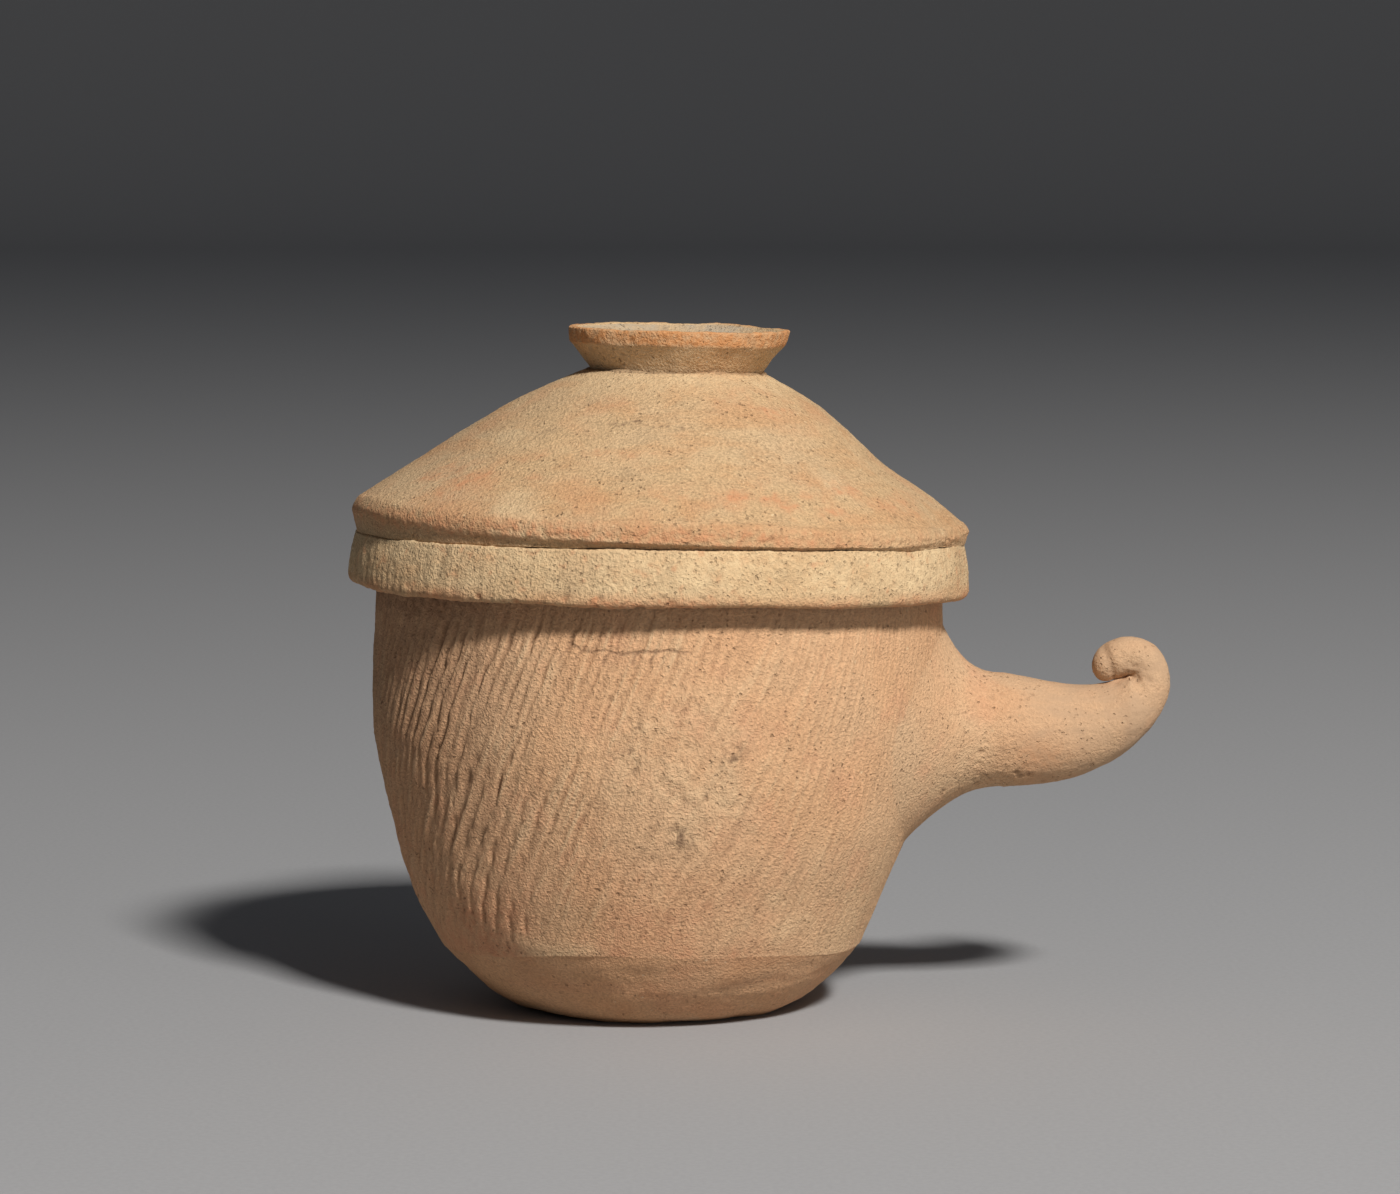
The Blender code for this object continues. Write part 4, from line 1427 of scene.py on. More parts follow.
@dataclass(frozen=True)
class HornWear:
    """Wear of the handle: finger facets, wiped lines, pits, a crumbly root, a pinched tip and handling.

    Patches and bands lie at distances from the wall and from the handle's centre height.
    """

    RECIPE = {
        Mark.HOLLOW: {"pits": 0.8, "root_pits": 1.0, "pinch": 0.5, "eye": 0.5},
        Mark.WORN_AND_SHADE_TINT: {"facets": 0.35, "blush": 0.6},
        Mark.BARE_AND_LIGHT: {"rough": 0.38},
        Mark.STAIN_AND_SHADE: {"smudge": 0.55},
        Mark.RUBBED: {"rubbed": 1.0},
    }

    root_power: float = 0.5
    facets: Lumps = Lumps(9.0 * MM, 0.2 * MM, drawn=(0.45, 1.0, 1.0), share=(0.1, 0.9))
    wiped: Lumps = Lumps(2.2 * MM, 0.07 * MM, drawn=(0.12, 1.0, 1.0))
    sand: Lumps = Lumps(1.4 * MM, 0.04 * MM)
    rough_sand: float = 0.1 * MM
    rough: Patch = Patch(9.0 * MM, -7.0 * MM, 13.0 * MM, 10.0 * MM)
    rough_lumps: Lumps = Lumps(6.0 * MM, 0.4, layers=3)
    rough_band: Band = (0.2, 1.0)
    pits: Pitting = Pitting(4.8 * MM, 0.7 * MM, 0.28, 0.3 * MM)
    root_pits: Pitting = Pitting(2.4 * MM, 0.9 * MM, 0.75, 0.46 * MM, shift=0.3)
    root_facets: float = 0.35
    root_band: Band = (0.25, 0.7)
    eye_radius: float = 4.0 * MM
    eye_lumps: Lumps = Lumps(2.4 * MM, 0.45 * MM, share=(0.0, -0.5))
    pinch_place: float = 0.45
    pinch_width: float = 0.12
    pinch_depth: float = 0.5 * MM
    pinch_side: Band = (1.0 * MM, -2.0 * MM)
    under: Band = (-5.0 * MM, -15.0 * MM)
    near_wall: Band = (20.0 * MM, 4.0 * MM)
    smudge: Lumps = Lumps(6.0 * MM, share=(-0.3, 0.6))
    smudge_specks: Lumps = Lumps(1.6 * MM, share=(-0.4, 0.5))
    blush: Patch = Patch(21.5 * MM, -5.0 * MM, 9.0 * MM, 4.5 * MM)
    patchy: Lumps = Lumps(10.0 * MM, layers=3, share=(-0.5, 0.6))
    patchy_wiped: float = 0.4
    handled: Band = (4.0 * MM, 24.0 * MM)
    handled_least: float = 0.5
    handled_loss: float = 0.6


@dataclass
class HornHandle:
    """Solid horn smeared onto the wall by a wide flare and rolled back on itself in a tight curl."""

    body: JarBody
    root_radius: float = 12.2 * MM
    flare_length: float = 15.0 * MM
    flare_radius: float = 21.5 * MM
    flare_power: float = 2.6
    flare_crowding: float = 2.2
    flare_edge: float = 0.9 * MM
    landing_start: float = 19.0 * MM
    sunk: float = 0.25 * MM
    sunk_reach: float = 1.5 * MM
    inside_depth: float = 3.0 * MM
    side_spread: float = 0.4
    side_power: float = 1.3
    reach: float = 41.9 * MM
    rise: float = 12.0 * MM
    curl_radius: float = 8.1 * MM
    roll_radius: float = 4.05 * MM
    curl_start: float = math.radians(-90.0)
    curl_end: float = math.radians(109.0)
    tightening: float = math.radians(36.0)
    tip_length: float = 7.2 * MM
    tip_droop: float = 1.0 * MM
    tip_power: float = 3.4
    top_slope: float = -3.2 * MM
    top_sag: float = -8.0 * MM
    belly_slope: float = 2.0 * MM
    pad_radius: float = 14.0 * MM
    pad_thickness: float = 4.0 * MM
    pad_proud: float = 0.5 * MM
    pad_turn: float = 0.4
    pad_relief: float = 0.8
    columns: int = 208
    flare_rows: int = 46
    horn_rows: int = 64
    curl_rows: int = 112
    tip_rows: int = 28
    pad_columns: int = 120
    pad_rows: int = 30
    seed: int = 17
    wear: HornWear = HornWear()

    def __post_init__(self) -> None:
        """Start the grain of the handle and find where its root meets the wall."""
        self.grain = ClayGrain(self.seed)
        self.height = self.body.handle_height
        self.root = float(self.body.radius(np.array(self.height)))

    def landing(self) -> tuple[float, float]:
        """Height and slope of the flare's powered curve where its soft landing on the wall starts.

        Returns:
            Distance from the wall, and slope.
        """
        wide = self.flare_radius - self.root_radius
        start = (self.landing_start - self.root_radius) / wide
        straight = self.flare_length - self.flare_edge
        level = self.flare_edge + straight * (1.0 - start ** (1.0 / self.flare_power))
        return level, straight / wide / self.flare_power * start ** (1.0 / self.flare_power - 1.0)

    def flare_reach(self, radius: Grid) -> Grid:
        """How far the flare stands off the wall at a radius: a powered curve that lands softly on the wall.

        Args:
            radius: Distances from the handle's centre line.

        Returns:
            Distances from the wall.
        """
        share = np.clip((radius - self.root_radius) / (self.flare_radius - self.root_radius), 0.0, None)
        straight = self.flare_length - self.flare_edge
        curve = self.flare_edge + straight * (1.0 - share ** (1.0 / self.flare_power))
        level, slope = self.landing()
        landing = level * (1.0 - (radius - self.landing_start) * slope / (2.0 * level)) ** 2
        return np.where(radius < self.landing_start, curve, landing)

    def flare(self, turn: Grid) -> Grid:
        """Rings of the flare: each lies on the wall's shape at the wall and flattens towards the neck.

        Args:
            turn: Angles round the handle.

        Returns:
            Points of the rings, from the wall to the neck.
        """
        level, slope = self.landing()
        landing = self.landing_start + 2.0 * level / slope
        share = spread(0.0, 1.0, self.flare_rows)
        radius = self.root_radius + (landing - self.root_radius) * (1.0 - share) ** self.flare_crowding
        stand = self.flare_reach(radius)
        outward = (radius - self.root_radius) / (landing - self.root_radius)
        wide = 1.0 + self.side_spread * outward**self.side_power
        y = radius * wide * np.cos(turn)
        z = self.height + radius * np.sin(turn)
        follow = 1.0 - stand / self.flare_length
        x = self.root + stand + (self.body.face_x(y, z) - self.root) * follow
        return np.stack([x - self.sunk * ease(stand, self.sunk_reach, 0.0), y, z], axis=-1)

    def horn_rings(self, turn: Grid) -> Grid:
        """Upright rings of the straight horn, each a circle between the horn's top and bottom outlines.

        The top is a cubic that sags and rises again into the eye of the curl. The bottom is a straight slope
        plus a power curve that leaves along the curl's outside.

        Args:
            turn: Angles round the handle.

        Returns:
            Points of the rings, from the neck to the start of the curl.
        """
        share = spread(0.0, 1.0, self.horn_rows)[1:]
        neck, eye = self.root + self.flare_length, self.root + self.reach
        high, low = self.height + self.root_radius, self.height - self.root_radius
        eye_height = self.height + self.rise
        top_last = eye_height - high - self.top_slope - self.top_sag
        top = high + self.top_slope * share + self.top_sag * share**2 + top_last * share**3
        climb = eye_height - 2.0 * self.curl_radius - low - self.belly_slope
        leaving = 2.0 * (self.curl_radius - self.roll_radius) / self.tightening / (2.0 * self.curl_radius)
        power = ((eye - neck) * leaving - self.belly_slope) / climb
        bottom = low + self.belly_slope * share + climb * share**power
        radius = 0.5 * (top - bottom)
        x = neck + (eye - neck) * share + 0.0 * turn
        return np.stack([x, radius * np.cos(turn), 0.5 * (top + bottom) + radius * np.sin(turn)], axis=-1)

    def curl_rings(self, turn: Grid) -> tuple[Grid, Grid]:
        """Rings of the curl and its tip.

        Each ring of the curl lies in a plane through the eye and reaches from the eye to a spiral whose
        distance falls off exponentially. The tip runs straight on, droops and rounds off.

        Args:
            turn: Angles round the handle.

        Returns:
            Points of the rings, and the share of the tip passed at each ring.
        """
        angle = spread(self.curl_start, self.curl_end, self.curl_rows)[1:]
        shrink = np.exp(-(angle - self.curl_start) / self.tightening)
        radius = self.roll_radius + (self.curl_radius - self.roll_radius) * shrink
        tip = np.sin(spread(0.0, 0.5 * math.pi, self.tip_rows))[1:]
        last = np.full_like(tip, self.curl_end)
        radius = np.concatenate([radius, radius[-1] * np.sqrt(np.clip(1.0 - tip**self.tip_power, 0.0, 1.0))])
        passed = np.concatenate([np.zeros_like(angle), tip])
        angle = np.concatenate([angle, last])
        outward = np.concatenate([np.cos(angle), np.zeros_like(angle), np.sin(angle)], axis=1)
        forward = np.concatenate([-np.sin(angle), np.zeros_like(angle), np.cos(angle)], axis=1)
        distance = np.where(passed > 0.0, self.roll_radius, radius)
        eye = np.array([self.root + self.reach, 0.0, self.height + self.rise])
        centre = eye + outward * (distance - self.tip_droop * passed**2) + forward * self.tip_length * passed
        across = np.cos(turn)[..., None] * np.array([0.0, 1.0, 0.0])
        ring = across - np.sin(turn)[..., None] * outward[:, None, :]
        return centre[:, None, :] + radius[..., None] * ring, passed

    def horn(self) -> ClaySurface:
        """Whole handle: the flare's rings, the horn's and the curl's, closed at both ends.

        Returns:
            The finished surface.
        """
        turn = round_angles(self.columns)
        flare, horn = self.flare(turn), self.horn_rings(turn)
        curl, passed = self.curl_rings(turn)
        inside = np.array([self.root - self.inside_depth, 0.0, self.height]) + np.zeros((1, self.columns, 3))
        surface = ClaySurface(np.concatenate([inside, flare, horn, curl]), ring=False)
        tip = np.concatenate([np.zeros((1 + len(flare) + len(horn), 1)), passed]) + 0.0 * turn
        self.smooth_over(surface, tip, len(flare) + 1)
        return surface

    def smooth_over(self, surface: ClaySurface, tip: Grid, flare_end: int) -> None:
        """Press finger facets, pits and the pinch of the tip into the handle and set its marks.

        Args:
            surface: Surface of the handle.
            tip: Share of the tip passed at each point.
            flare_end: Row after the flare's last one.
        """
        points, grain, wear = surface.points, self.grain, self.wear
        out, up = points[..., 0] - self.root, points[..., 2] - self.height
        fade = np.ones(points.shape[:2])
        fade[:flare_end] = np.linspace(0.0, 1.0, flare_end)[:, None] ** wear.root_power
        facets = wear.facets.over(grain, points)
        wiped = wear.wiped.over(grain, points)
        rough = wear.rough.over(out, up)
        pits = wear.pits.over(grain, points)
        crumbly = ease(rough + wear.root_facets * facets, *wear.root_band)
        root_pits = wear.root_pits.over(grain, points) * crumbly
        eye = spot(out - self.reach, up - self.rise, wear.eye_radius, wear.eye_radius)
        lumps = eye * wear.eye_lumps.over(grain, points)
        pinch = bell(tip, wear.pinch_place, wear.pinch_width) * (tip > 0.0)
        pinch = pinch * ease(points[..., 1], *wear.pinch_side)
        sand = (wear.sand.depth + wear.rough_sand * rough) * wear.sand.over(grain, points)
        relief = fade * (wear.facets.depth * facets + sand + wear.wiped.depth * wiped)
        relief -= fade * (wear.pits.depth * pits + wear.root_pits.depth * root_pits)
        relief += wear.eye_lumps.depth * lumps - wear.pinch_depth * pinch
        surface.raise_by(relief)
        smudge = ease(up, *wear.under) * ease(out, *wear.near_wall) * fade**2
        smudge = smudge * wear.smudge.eased(grain, points) * wear.smudge_specks.eased(grain, points)
        patchy = ease(wear.patchy.over(grain, points) + wear.patchy_wiped * wiped, *wear.patchy.share)
        rubbed = ease(out, *wear.handled) * (1.0 - wear.handled_loss * rough)
        surface.marks = mixed(wear.RECIPE, {
            "pits": pits,
            "root_pits": root_pits,
            "pinch": pinch,
            "eye": eye * ease(lumps, *wear.eye_lumps.share),
            "facets": ease(facets, *wear.facets.share) * fade,
            "blush": wear.blush.over(out, up),
            "rough": ease(rough + wear.rough_lumps.pressed(grain, points), *wear.rough_band),
            "smudge": smudge,
            "rubbed": rubbed * (wear.handled_least + (1.0 - wear.handled_least) * patchy),
        })

    def pad(self) -> ClaySurface:
        """Pat of clay pressed over the tenon's end inside the jar: a low dome that follows the inner face.

        Returns:
            The finished surface.
        """
        turn = round_angles(self.pad_columns)
        bend = spread(-0.5 * math.pi, 0.5 * math.pi, self.pad_rows)
        radius = self.pad_radius * np.cos(bend)
        y = -radius * np.cos(turn)
        z = self.height + radius * np.sin(turn)
        inner = np.sqrt((self.body.radius(z) - self.body.wall_thickness) ** 2 - y**2)
        domed = np.sin(bend) * ease(np.sin(bend), -self.pad_turn, self.pad_turn)
        x = inner - self.pad_thickness * domed + self.pad_proud
        surface = ClaySurface(np.stack([x, y, z], axis=-1), ring=False)
        relief, surface.marks = self.body.inside_relief(surface.points)
        surface.raise_by(self.pad_relief * relief)
        return surface

    def build(self, workshop: Workshop) -> None:
        """Make the horn and the pad inside the jar."""
        workshop.settle("horn_handle", self.horn(), Body.JAR, Slot.HORN, ("handle", "handle_collar"))
        workshop.settle("inner_pad", self.pad(), Body.JAR, Slot.WALL, ("handle_inner_pad",))


@dataclass(frozen=True)
class ConeWear:
    """Wear of the cone: lumps, wheel lines, pits, a crumbled edge, orange flushes, a row of dark flecks, and
    painted shade under its ledge.

    Patches lie at angles from the front and at distances from the lid's axis.
    """

    RECIPE = {
        Mark.HOLLOW: {"pits": 0.7, "edge_pits": 0.7, "under": 0.3},
        Mark.WORN_AND_SHADE_TINT: {"edge": 1.0, "patches": 0.3, "flushed": 1.3},
        Mark.BARE_AND_LIGHT: {"pale": 0.4, "by_knob": 0.35},
        Mark.STAIN_AND_SHADE: {"fleck_row": 0.8, "stains": 0.15},
    }

    outside_rows: Band = (16.0, 22.0)
    inside_share: float = 0.15
    edge_middle: float = -0.6 * MM
    edge_width: float = 2.3 * MM
    edge_reach: Band = (63.0 * MM, 65.0 * MM)
    edge_loss: float = 0.12 * MM
    lumps: Lumps = Lumps(24.0 * MM, 0.3 * MM)
    lines: Lumps = Lumps(1.7 * MM, 0.06 * MM, drawn=(0.07, 0.07, 1.0))
    sand: Lumps = Lumps(1.4 * MM, 0.06 * MM)
    crumbs: Lumps = Lumps(1.8 * MM, 0.17 * MM, layers=3)
    pits: Pitting = Pitting(5.0 * MM, 0.9 * MM, 0.25, 0.28 * MM)
    edge_pits: Pitting = Pitting(2.0 * MM, 0.85 * MM, 0.55, 0.42 * MM, shift=0.7)
    blunt: float = 0.6
    blunt_turns: Band = (-0.3, -0.9)
    orange: float = 0.65
    orange_crumbs: float = 0.6
    orange_loss: float = 0.6
    # Painted shade in the undercut under the ledge's nose, this far in from the ledge.
    orange_turns: Band = (0.2, 0.9)
    under: Band = (0.3 * MM, 0.9 * MM)
    patches: Lumps = Lumps(17.0 * MM, layers=3, share=(0.3, 0.9))
    pale: Band = (0.1, 0.9)
    by_knob: Band = (32.0 * MM, 22.0 * MM)
    flushes: tuple[Patch, ...] = (
        Patch(-0.95, 57.0 * MM, 0.40, 6.0 * MM, 0.6), Patch(-0.55, 52.0 * MM, 0.10, 3.5 * MM, 0.7),
        Patch(-0.22, 47.0 * MM, 0.25, 2.5 * MM, 0.6), Patch(0.65, 31.0 * MM, 0.30, 5.0 * MM, 0.8),
        Patch(0.75, 57.0 * MM, 0.45, 5.0 * MM, 0.7), Patch(-0.45, 33.0 * MM, 0.18, 3.0 * MM, 0.4),
        Patch(0.25, 59.0 * MM, 0.30, 3.0 * MM, 0.75), Patch(2.4, 45.0 * MM, 0.50, 8.0 * MM, 0.5),
        Patch(-2.3, 50.0 * MM, 0.40, 6.0 * MM, 0.5),
    )
    blotches: Lumps = Lumps(4.0 * MM, layers=3, drawn=(0.5, 0.5, 1.0), share=(-0.5, 0.6))
    specks: Lumps = Lumps(1.9 * MM, share=(-0.6, 0.6))
    specks_least: float = 0.35
    row_turn: float = -0.118
    row_radius: float = 38.1 * MM
    row_slope: float = 1.5 * MM
    row_width: float = 0.6 * MM
    row_reach: Band = (0.3, 0.16)
    row_waves: tuple[Triple, ...] = ((0.5 * MM, 19.0, 0.0), (0.4 * MM, 43.0, 1.0))
    row_flecks: Lumps = Lumps(1.1 * MM, layers=1, share=(0.05, 0.45))
    stains: Lumps = Lumps(6.0 * MM, layers=3, share=(0.5, 1.1))

    def fleck_row(self, grain: ClayGrain, turn: Grid, radius: Grid, points: Grid) -> Grid:
        """Row of dark flecks high on the front: a thin wavy line broken up by noise.

        Args:
            grain: Noise to use.
            turn: Angles from the front.
            radius: Distances from the lid's axis.
            points: Places of the points.

        Returns:
            Shares from 0 to 1.
        """
        along = turn - self.row_turn
        away = radius - self.row_slope * along - waves(along, self.row_waves)
        line = bell(away, self.row_radius, self.row_width) * ease(np.abs(along), *self.row_reach)
        return line * self.row_flecks.eased(grain, points)


@dataclass(frozen=True)
class SkirtWear:
    """Wear of the skirt: sandy upright smears, pits, and chips along its lower edge."""

    RECIPE = {
        Mark.HOLLOW: {"pits": 0.6, "chips": 0.3, "smears": 0.25},
        Mark.WORN_AND_SHADE_TINT: {"hem": 1.0, "chips": 0.7, "flecks": 0.5},
        Mark.BARE_AND_LIGHT: {"sandy": 0.75},
        Mark.STAIN_AND_SHADE: {"stains": 0.2},
    }

    hem: float = 4.0 * MM
    lumps: Lumps = Lumps(15.0 * MM, 0.25 * MM)
    smears: Lumps = Lumps(2.6 * MM, 0.07 * MM, drawn=(1.0, 1.0, 0.25), share=(0.0, -0.8))
    left_smears: float = 0.10 * MM
    left: Band = (-0.2, -0.8)
    sand: Lumps = Lumps(1.2 * MM, 0.09 * MM)
    pits: Pitting = Pitting(3.6 * MM, 0.8 * MM, 0.3, 0.3 * MM)
    chips: Pitting = Pitting(5.0 * MM, 1.5 * MM, 0.5, 0.55 * MM, shift=0.2)
    hem_patches: Band = (0.55, 0.6)
    sandy_patches: Band = (0.7, 0.5)
    patches: Lumps = Lumps(12.0 * MM, layers=3)
    flecks: Lumps = Lumps(2.6 * MM, share=(0.5, 0.9))
    stains: Lumps = Lumps(7.0 * MM, layers=3, share=(0.3, 1.0))


@dataclass(frozen=True)
class KnobWear:
    """Wear of the knob: dents, pits, a chipped orange rim, a dusty dish and painted shade at its foot."""

    RECIPE = {
        Mark.HOLLOW: {"pits": 0.7, "foot": 0.6, "chips": 0.3},
        Mark.WORN_AND_SHADE_TINT: {"edge": 1.0},
        Mark.BARE_AND_LIGHT: {"dusty": 1.0},
        Mark.STAIN_AND_SHADE: {"stains": 0.3},
    }

    edge_reach: Band = (-1.9 * MM, -0.7 * MM)
    edge_height: float = 0.9 * MM
    crumbs: Lumps = Lumps(2.2 * MM, 0.06 * MM, layers=3)
    edge_crumbs: float = 0.08 * MM
    pits: Pitting = Pitting(3.2 * MM, 0.85 * MM, 0.4, 0.25 * MM)
    chips: Pitting = Pitting(4.0 * MM, 1.3 * MM, 0.4, 0.3 * MM, shift=0.9)
    lumps: Lumps = Lumps(9.0 * MM, 0.22 * MM)
    # Painted shade at the knob's foot, under its flare.
    foot: Band = (2.6 * MM, -0.5 * MM)
    orange: Band = (0.95, 0.5)
    orange_loss: float = 0.6
    dusty: Band = (0.7, 0.5)
    stains: Lumps = Lumps(6.0 * MM, layers=3, share=(0.3, 1.0))


@dataclass
class Lid:
    """Low cone with a crumbly overhanging edge, a skirt that slips over the mouth, and a cup-shaped knob."""

    seat: Triple = (1.3 * MM, 0.0, 106.0 * MM)
    bore: float = 61.56 * MM
    crease: float = 65.16 * MM
    crease_rise: float = 1.0 * MM
    crease_turn: float = 0.2
    crease_width: float = 0.8
    ledge: float = 66.06 * MM
    seat_depth: float = 5.0 * MM
    ledge_round: float = 2.4 * MM
    ledge_inset: float = 1.6 * MM
    ledge_waves: tuple[Triple, ...] = ((-1.1 * MM, 1.0, 0.0), (0.2 * MM, 5.0, 0.7), (0.15 * MM, 9.0, 0.0))
    ledge_blend: Band = (0.12, 1.0)
    ledge_fade: float = 16.0 * MM
    nose_drop: float = 0.4 * MM
    nose_flat: float = 0.5
    lip_sag: float = 0.8 * MM
    lip_lift: float = 0.3 * MM
    lip_fade: float = 18.0 * MM
    undercut_turns: tuple[float, ...] = (-math.pi, -2.2, -1.1, -0.7, -0.1, 0.3, 0.8, 1.4, 2.2, math.pi)
    undercut_shares: tuple[float, ...] = (0.5, 0.8, 0.97, 0.8, 0.42, 0.28, 0.3, 0.95, 0.7, 0.5)
    groove: float = 0.9 * MM
    groove_turn: float = -0.1
    groove_widths: Band = (1.5, 0.55)
    groove_least: float = 0.2
    groove_fill: float = 0.25
    dome_rise: float = 35.5 * MM
    dome_power: float = 1.4
    slack: float = 3.0 * MM
    slack_radius: float = 47.0 * MM
    slack_width: float = 9.5 * MM
    swelling: float = 1.3 * MM
    swelling_radius: float = 37.0 * MM
    swelling_width: float = 13.0 * MM
    lean: float = 2.5 * MM
    hollow_radius: float = 52.2 * MM
    crown: float = 6.0 * MM
    crest_drop: float = 1.1 * MM
    crest_width: float = 1.6 * MM
    skirt_height: float = 11.0 * MM
    skirt_flare: float = 1.3 * MM
    skirt_round: float = 1.6 * MM
    skirt_gap: float = 0.1 * MM
    skirt_shut: float = 0.3 * MM
    skirt_brim: float = 0.8 * MM
    skirt_bulge: float = 0.35 * MM
    skirt_waves: tuple[Triple, ...] = ((0.25 * MM, 3.0, 0.5), (0.15 * MM, 8.0, 0.0))
    knob_seat: float = 19.5 * MM
    knob_gap: float = 0.1 * MM
    knob_sunk: float = 1.2 * MM
    knob_sole: float = 1.3 * MM
    knob_foot: float = 17.8 * MM
    knob_rim: float = 23.7 * MM
    knob_out: float = 0.35 * MM
    knob_height: float = 9.4 * MM
    knob_power: float = 1.3
    knob_power_play: float = 0.15
    knob_lip: float = 3.2 * MM
    knob_side: float = 0.86
    knob_lip_power: float = 0.6
    knob_corner: float = 0.25 * MM
    knob_edge: float = 2.2 * MM
    knob_tilt: float = 0.6 * MM
    knob_waves: tuple[Triple, ...] = ((0.08 * MM, 2.0, 0.5 * math.pi), (0.06 * MM, 5.0, 1.0))
    rim_waves: tuple[Triple, ...] = ((0.3 * MM, 3.0, 0.0), (0.2 * MM, 7.0, 2.0))
    dish_floor: float = 4.7 * MM
    dish_power: float = 3.0
    coil_out: float = 0.765 * MM
    coil_width: float = 1.054 * MM
    coil_height: float = 0.9 * MM
    coil_sunk: float = 0.6 * MM
    coil_waves: tuple[Triple, ...] = ((0.2, 5.0, 0.0), (0.12, 11.0, 1.0))
    coil_lumps: Lumps = Lumps(3.0 * MM, 0.2 * MM)
    # The luting coil is darkened all over: painted shade, since it sits under the knob's flare.
    coil_hollow_shade: float = 0.6
    coil_stain_shade: float = 0.2
    dome_columns: int = 760
    slope_rows: int = 76
    crowding: float = 0.3
    skirt_columns: int = 900
    knob_columns: int = 460
    coil_columns: int = 300
    coil_rows: int = 20
    seed: int = 29
    cone_wear: ConeWear = ConeWear()
    skirt_wear: SkirtWear = SkirtWear()
    knob_wear: KnobWear = KnobWear()

    def __post_init__(self) -> None:
        """Start the grain of the lid and find the turned axes of its seat."""
        self.grain = ClayGrain(self.seed)
        upward = np.array(JOINT["axis"])
        sideways = np.cross((0.0, 1.0, 0.0), upward)
        sideways = sideways / np.linalg.norm(sideways)
        self.axes = np.stack([sideways, np.cross(upward, sideways), upward])
        self.nose = self.ledge_inset - self.ledge_round
        self.top = float(self.dome(np.array(self.knob_seat)))

    def dome(self, radius: Grid) -> Grid:
        """Height of the cone over its seat at a radius: a powered curve that falls to the ledge."""
        outer = self.ledge - self.ledge_inset
        return self.ledge_inset + self.dome_rise * (1.0 - (radius / outer) ** self.dome_power)

    def place(self, radius: Grid, angle: Grid, height: Grid) -> Grid:
        """Points of the lid from radius, angle and height over its tilted seat; the cone leans to the handle.

        Args:
            radius: Distances from the lid's axis.
            angle: Angles round the lid.
            height: Heights over the seat.

        Returns:
            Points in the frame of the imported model.
        """
        x = radius * np.cos(angle) + self.lean * np.maximum(height, 0.0) / self.top
        local = np.stack(np.broadcast_arrays(x, radius * np.sin(angle), height), axis=-1)
        return local @ self.axes + np.array(self.seat)

    def turned(self, sections: tuple[Section, ...], angle: Grid) -> tuple[Grid, Grid]:
        """Radii and heights of a profile's sections, joined and carried round the lid as grids."""
        grids = [np.broadcast_arrays(radius, height, angle) for radius, height in sections]
        return np.concatenate([grid[0] for grid in grids]), np.concatenate([grid[1] for grid in grids])

    def cone(self) -> ClaySurface:
        """Dome with its ledge, from the middle of its hollow out, round the nose and up to the knob.

        Returns:
            The finished surface.
        """
        angle = round_angles(self.dome_columns, self.crowding)
        turn = turn_from_front(angle)
        sections = (*self.underside(turn), *self.ledge_curves(turn), self.slope(turn), self.crest())
        radius, height = self.turned(sections, angle)
        surface = ClaySurface(self.place(radius, angle, height), ring=False)
        self.weather_cone(surface, radius, height, turn)
        return surface

    def underside(self, turn: Grid) -> tuple[Section, ...]:
        """Sections under the cone: a parabolic hollow, the level seat, and a cheek and sole at the crease.

        Args:
            turn: Angles from the front.

        Returns:
            The sections, from the middle out.
        """
        share = spread(0.0, 1.0, 12)
        crease = self.crease_level(turn)
        hollow = (self.hollow_radius * share, (self.top - self.crown) * (1.0 - share**2))
        seat = (self.hollow_radius + (self.bore - self.hollow_radius) * spread(0.2, 1.0, 5), 0.0)
        cheek = (self.bore, crease * spread(0.35, 1.0, 3))
        sole = (self.bore + (self.lower_end(turn) - self.bore) * spread(0.4, 1.0, 3), crease)
        return hollow, seat, cheek, sole

    def ledge_curves(self, turn: Grid) -> tuple[Section, Section]:
        """Sections of the ledge: an eased undercut up to the nose, then a quarter of an oval over it.

        Args:
            turn: Angles from the front.

        Returns:
            The sections below and above the nose.
        """
        lift = self.ledge_lift(turn)
        nose = self.nose + lift - self.nose_drop * np.clip(np.sin(turn), 0.0, 1.0)
        crease, lower_end = self.crease_level(turn), self.lower_end(turn)
        rise = spread(0.0, 1.0, 15)[1:]
        taper = np.clip(rise / np.interp(turn, self.undercut_turns, self.undercut_shares), 0.0, 1.0)
        sides = np.sin(turn) ** 2
        out = taper * sides + ease(taper, *self.ledge_blend) * (1.0 - sides)
        low = (lower_end + (self.ledge - lower_end) * out, crease + (nose - crease) * rise)
        bend = spread(0.0, 0.5 * math.pi, 10)[1:]
        chord = self.nose_flat * sides * (np.sin(bend) - 1.0 + np.cos(bend))
        end = self.ledge_inset + lift - self.lip_drop(turn)
        high = (self.ledge - self.ledge_inset * (1.0 - np.cos(bend) + chord),
                nose + (end - nose) * np.sin(bend))
        return low, high

    def slope(self, turn: Grid) -> Section:
        """Section of the outer cone: the dome's curve, bent to meet the ledge, with the hand's unevenness.

        Args:
            turn: Angles from the front.

        Returns:
            The section, from the ledge to the knob.
        """
        outer = self.ledge - self.ledge_inset
        radius = outer + (self.knob_seat - outer) * spread(0.0, 1.0, self.slope_rows)[1:]
        lift = self.ledge_lift(turn) * ease(radius, outer - self.ledge_fade, outer)
        drop = self.lip_drop(turn) * ease(radius, outer - self.lip_fade, outer)
        return radius, self.dome(radius) + lift - drop + self.slope_bulge(turn, radius)

    def crest(self) -> Section:
        """Section under the knob: an eased step down to a level middle.

        Returns:
            The section, from the knob's edge to the middle.
        """
        inner = self.knob_seat * spread(0.97, 0.0, 8)
        step = ease(inner, self.knob_seat, self.knob_seat - self.crest_width)
        return inner, self.top - self.crest_drop * step

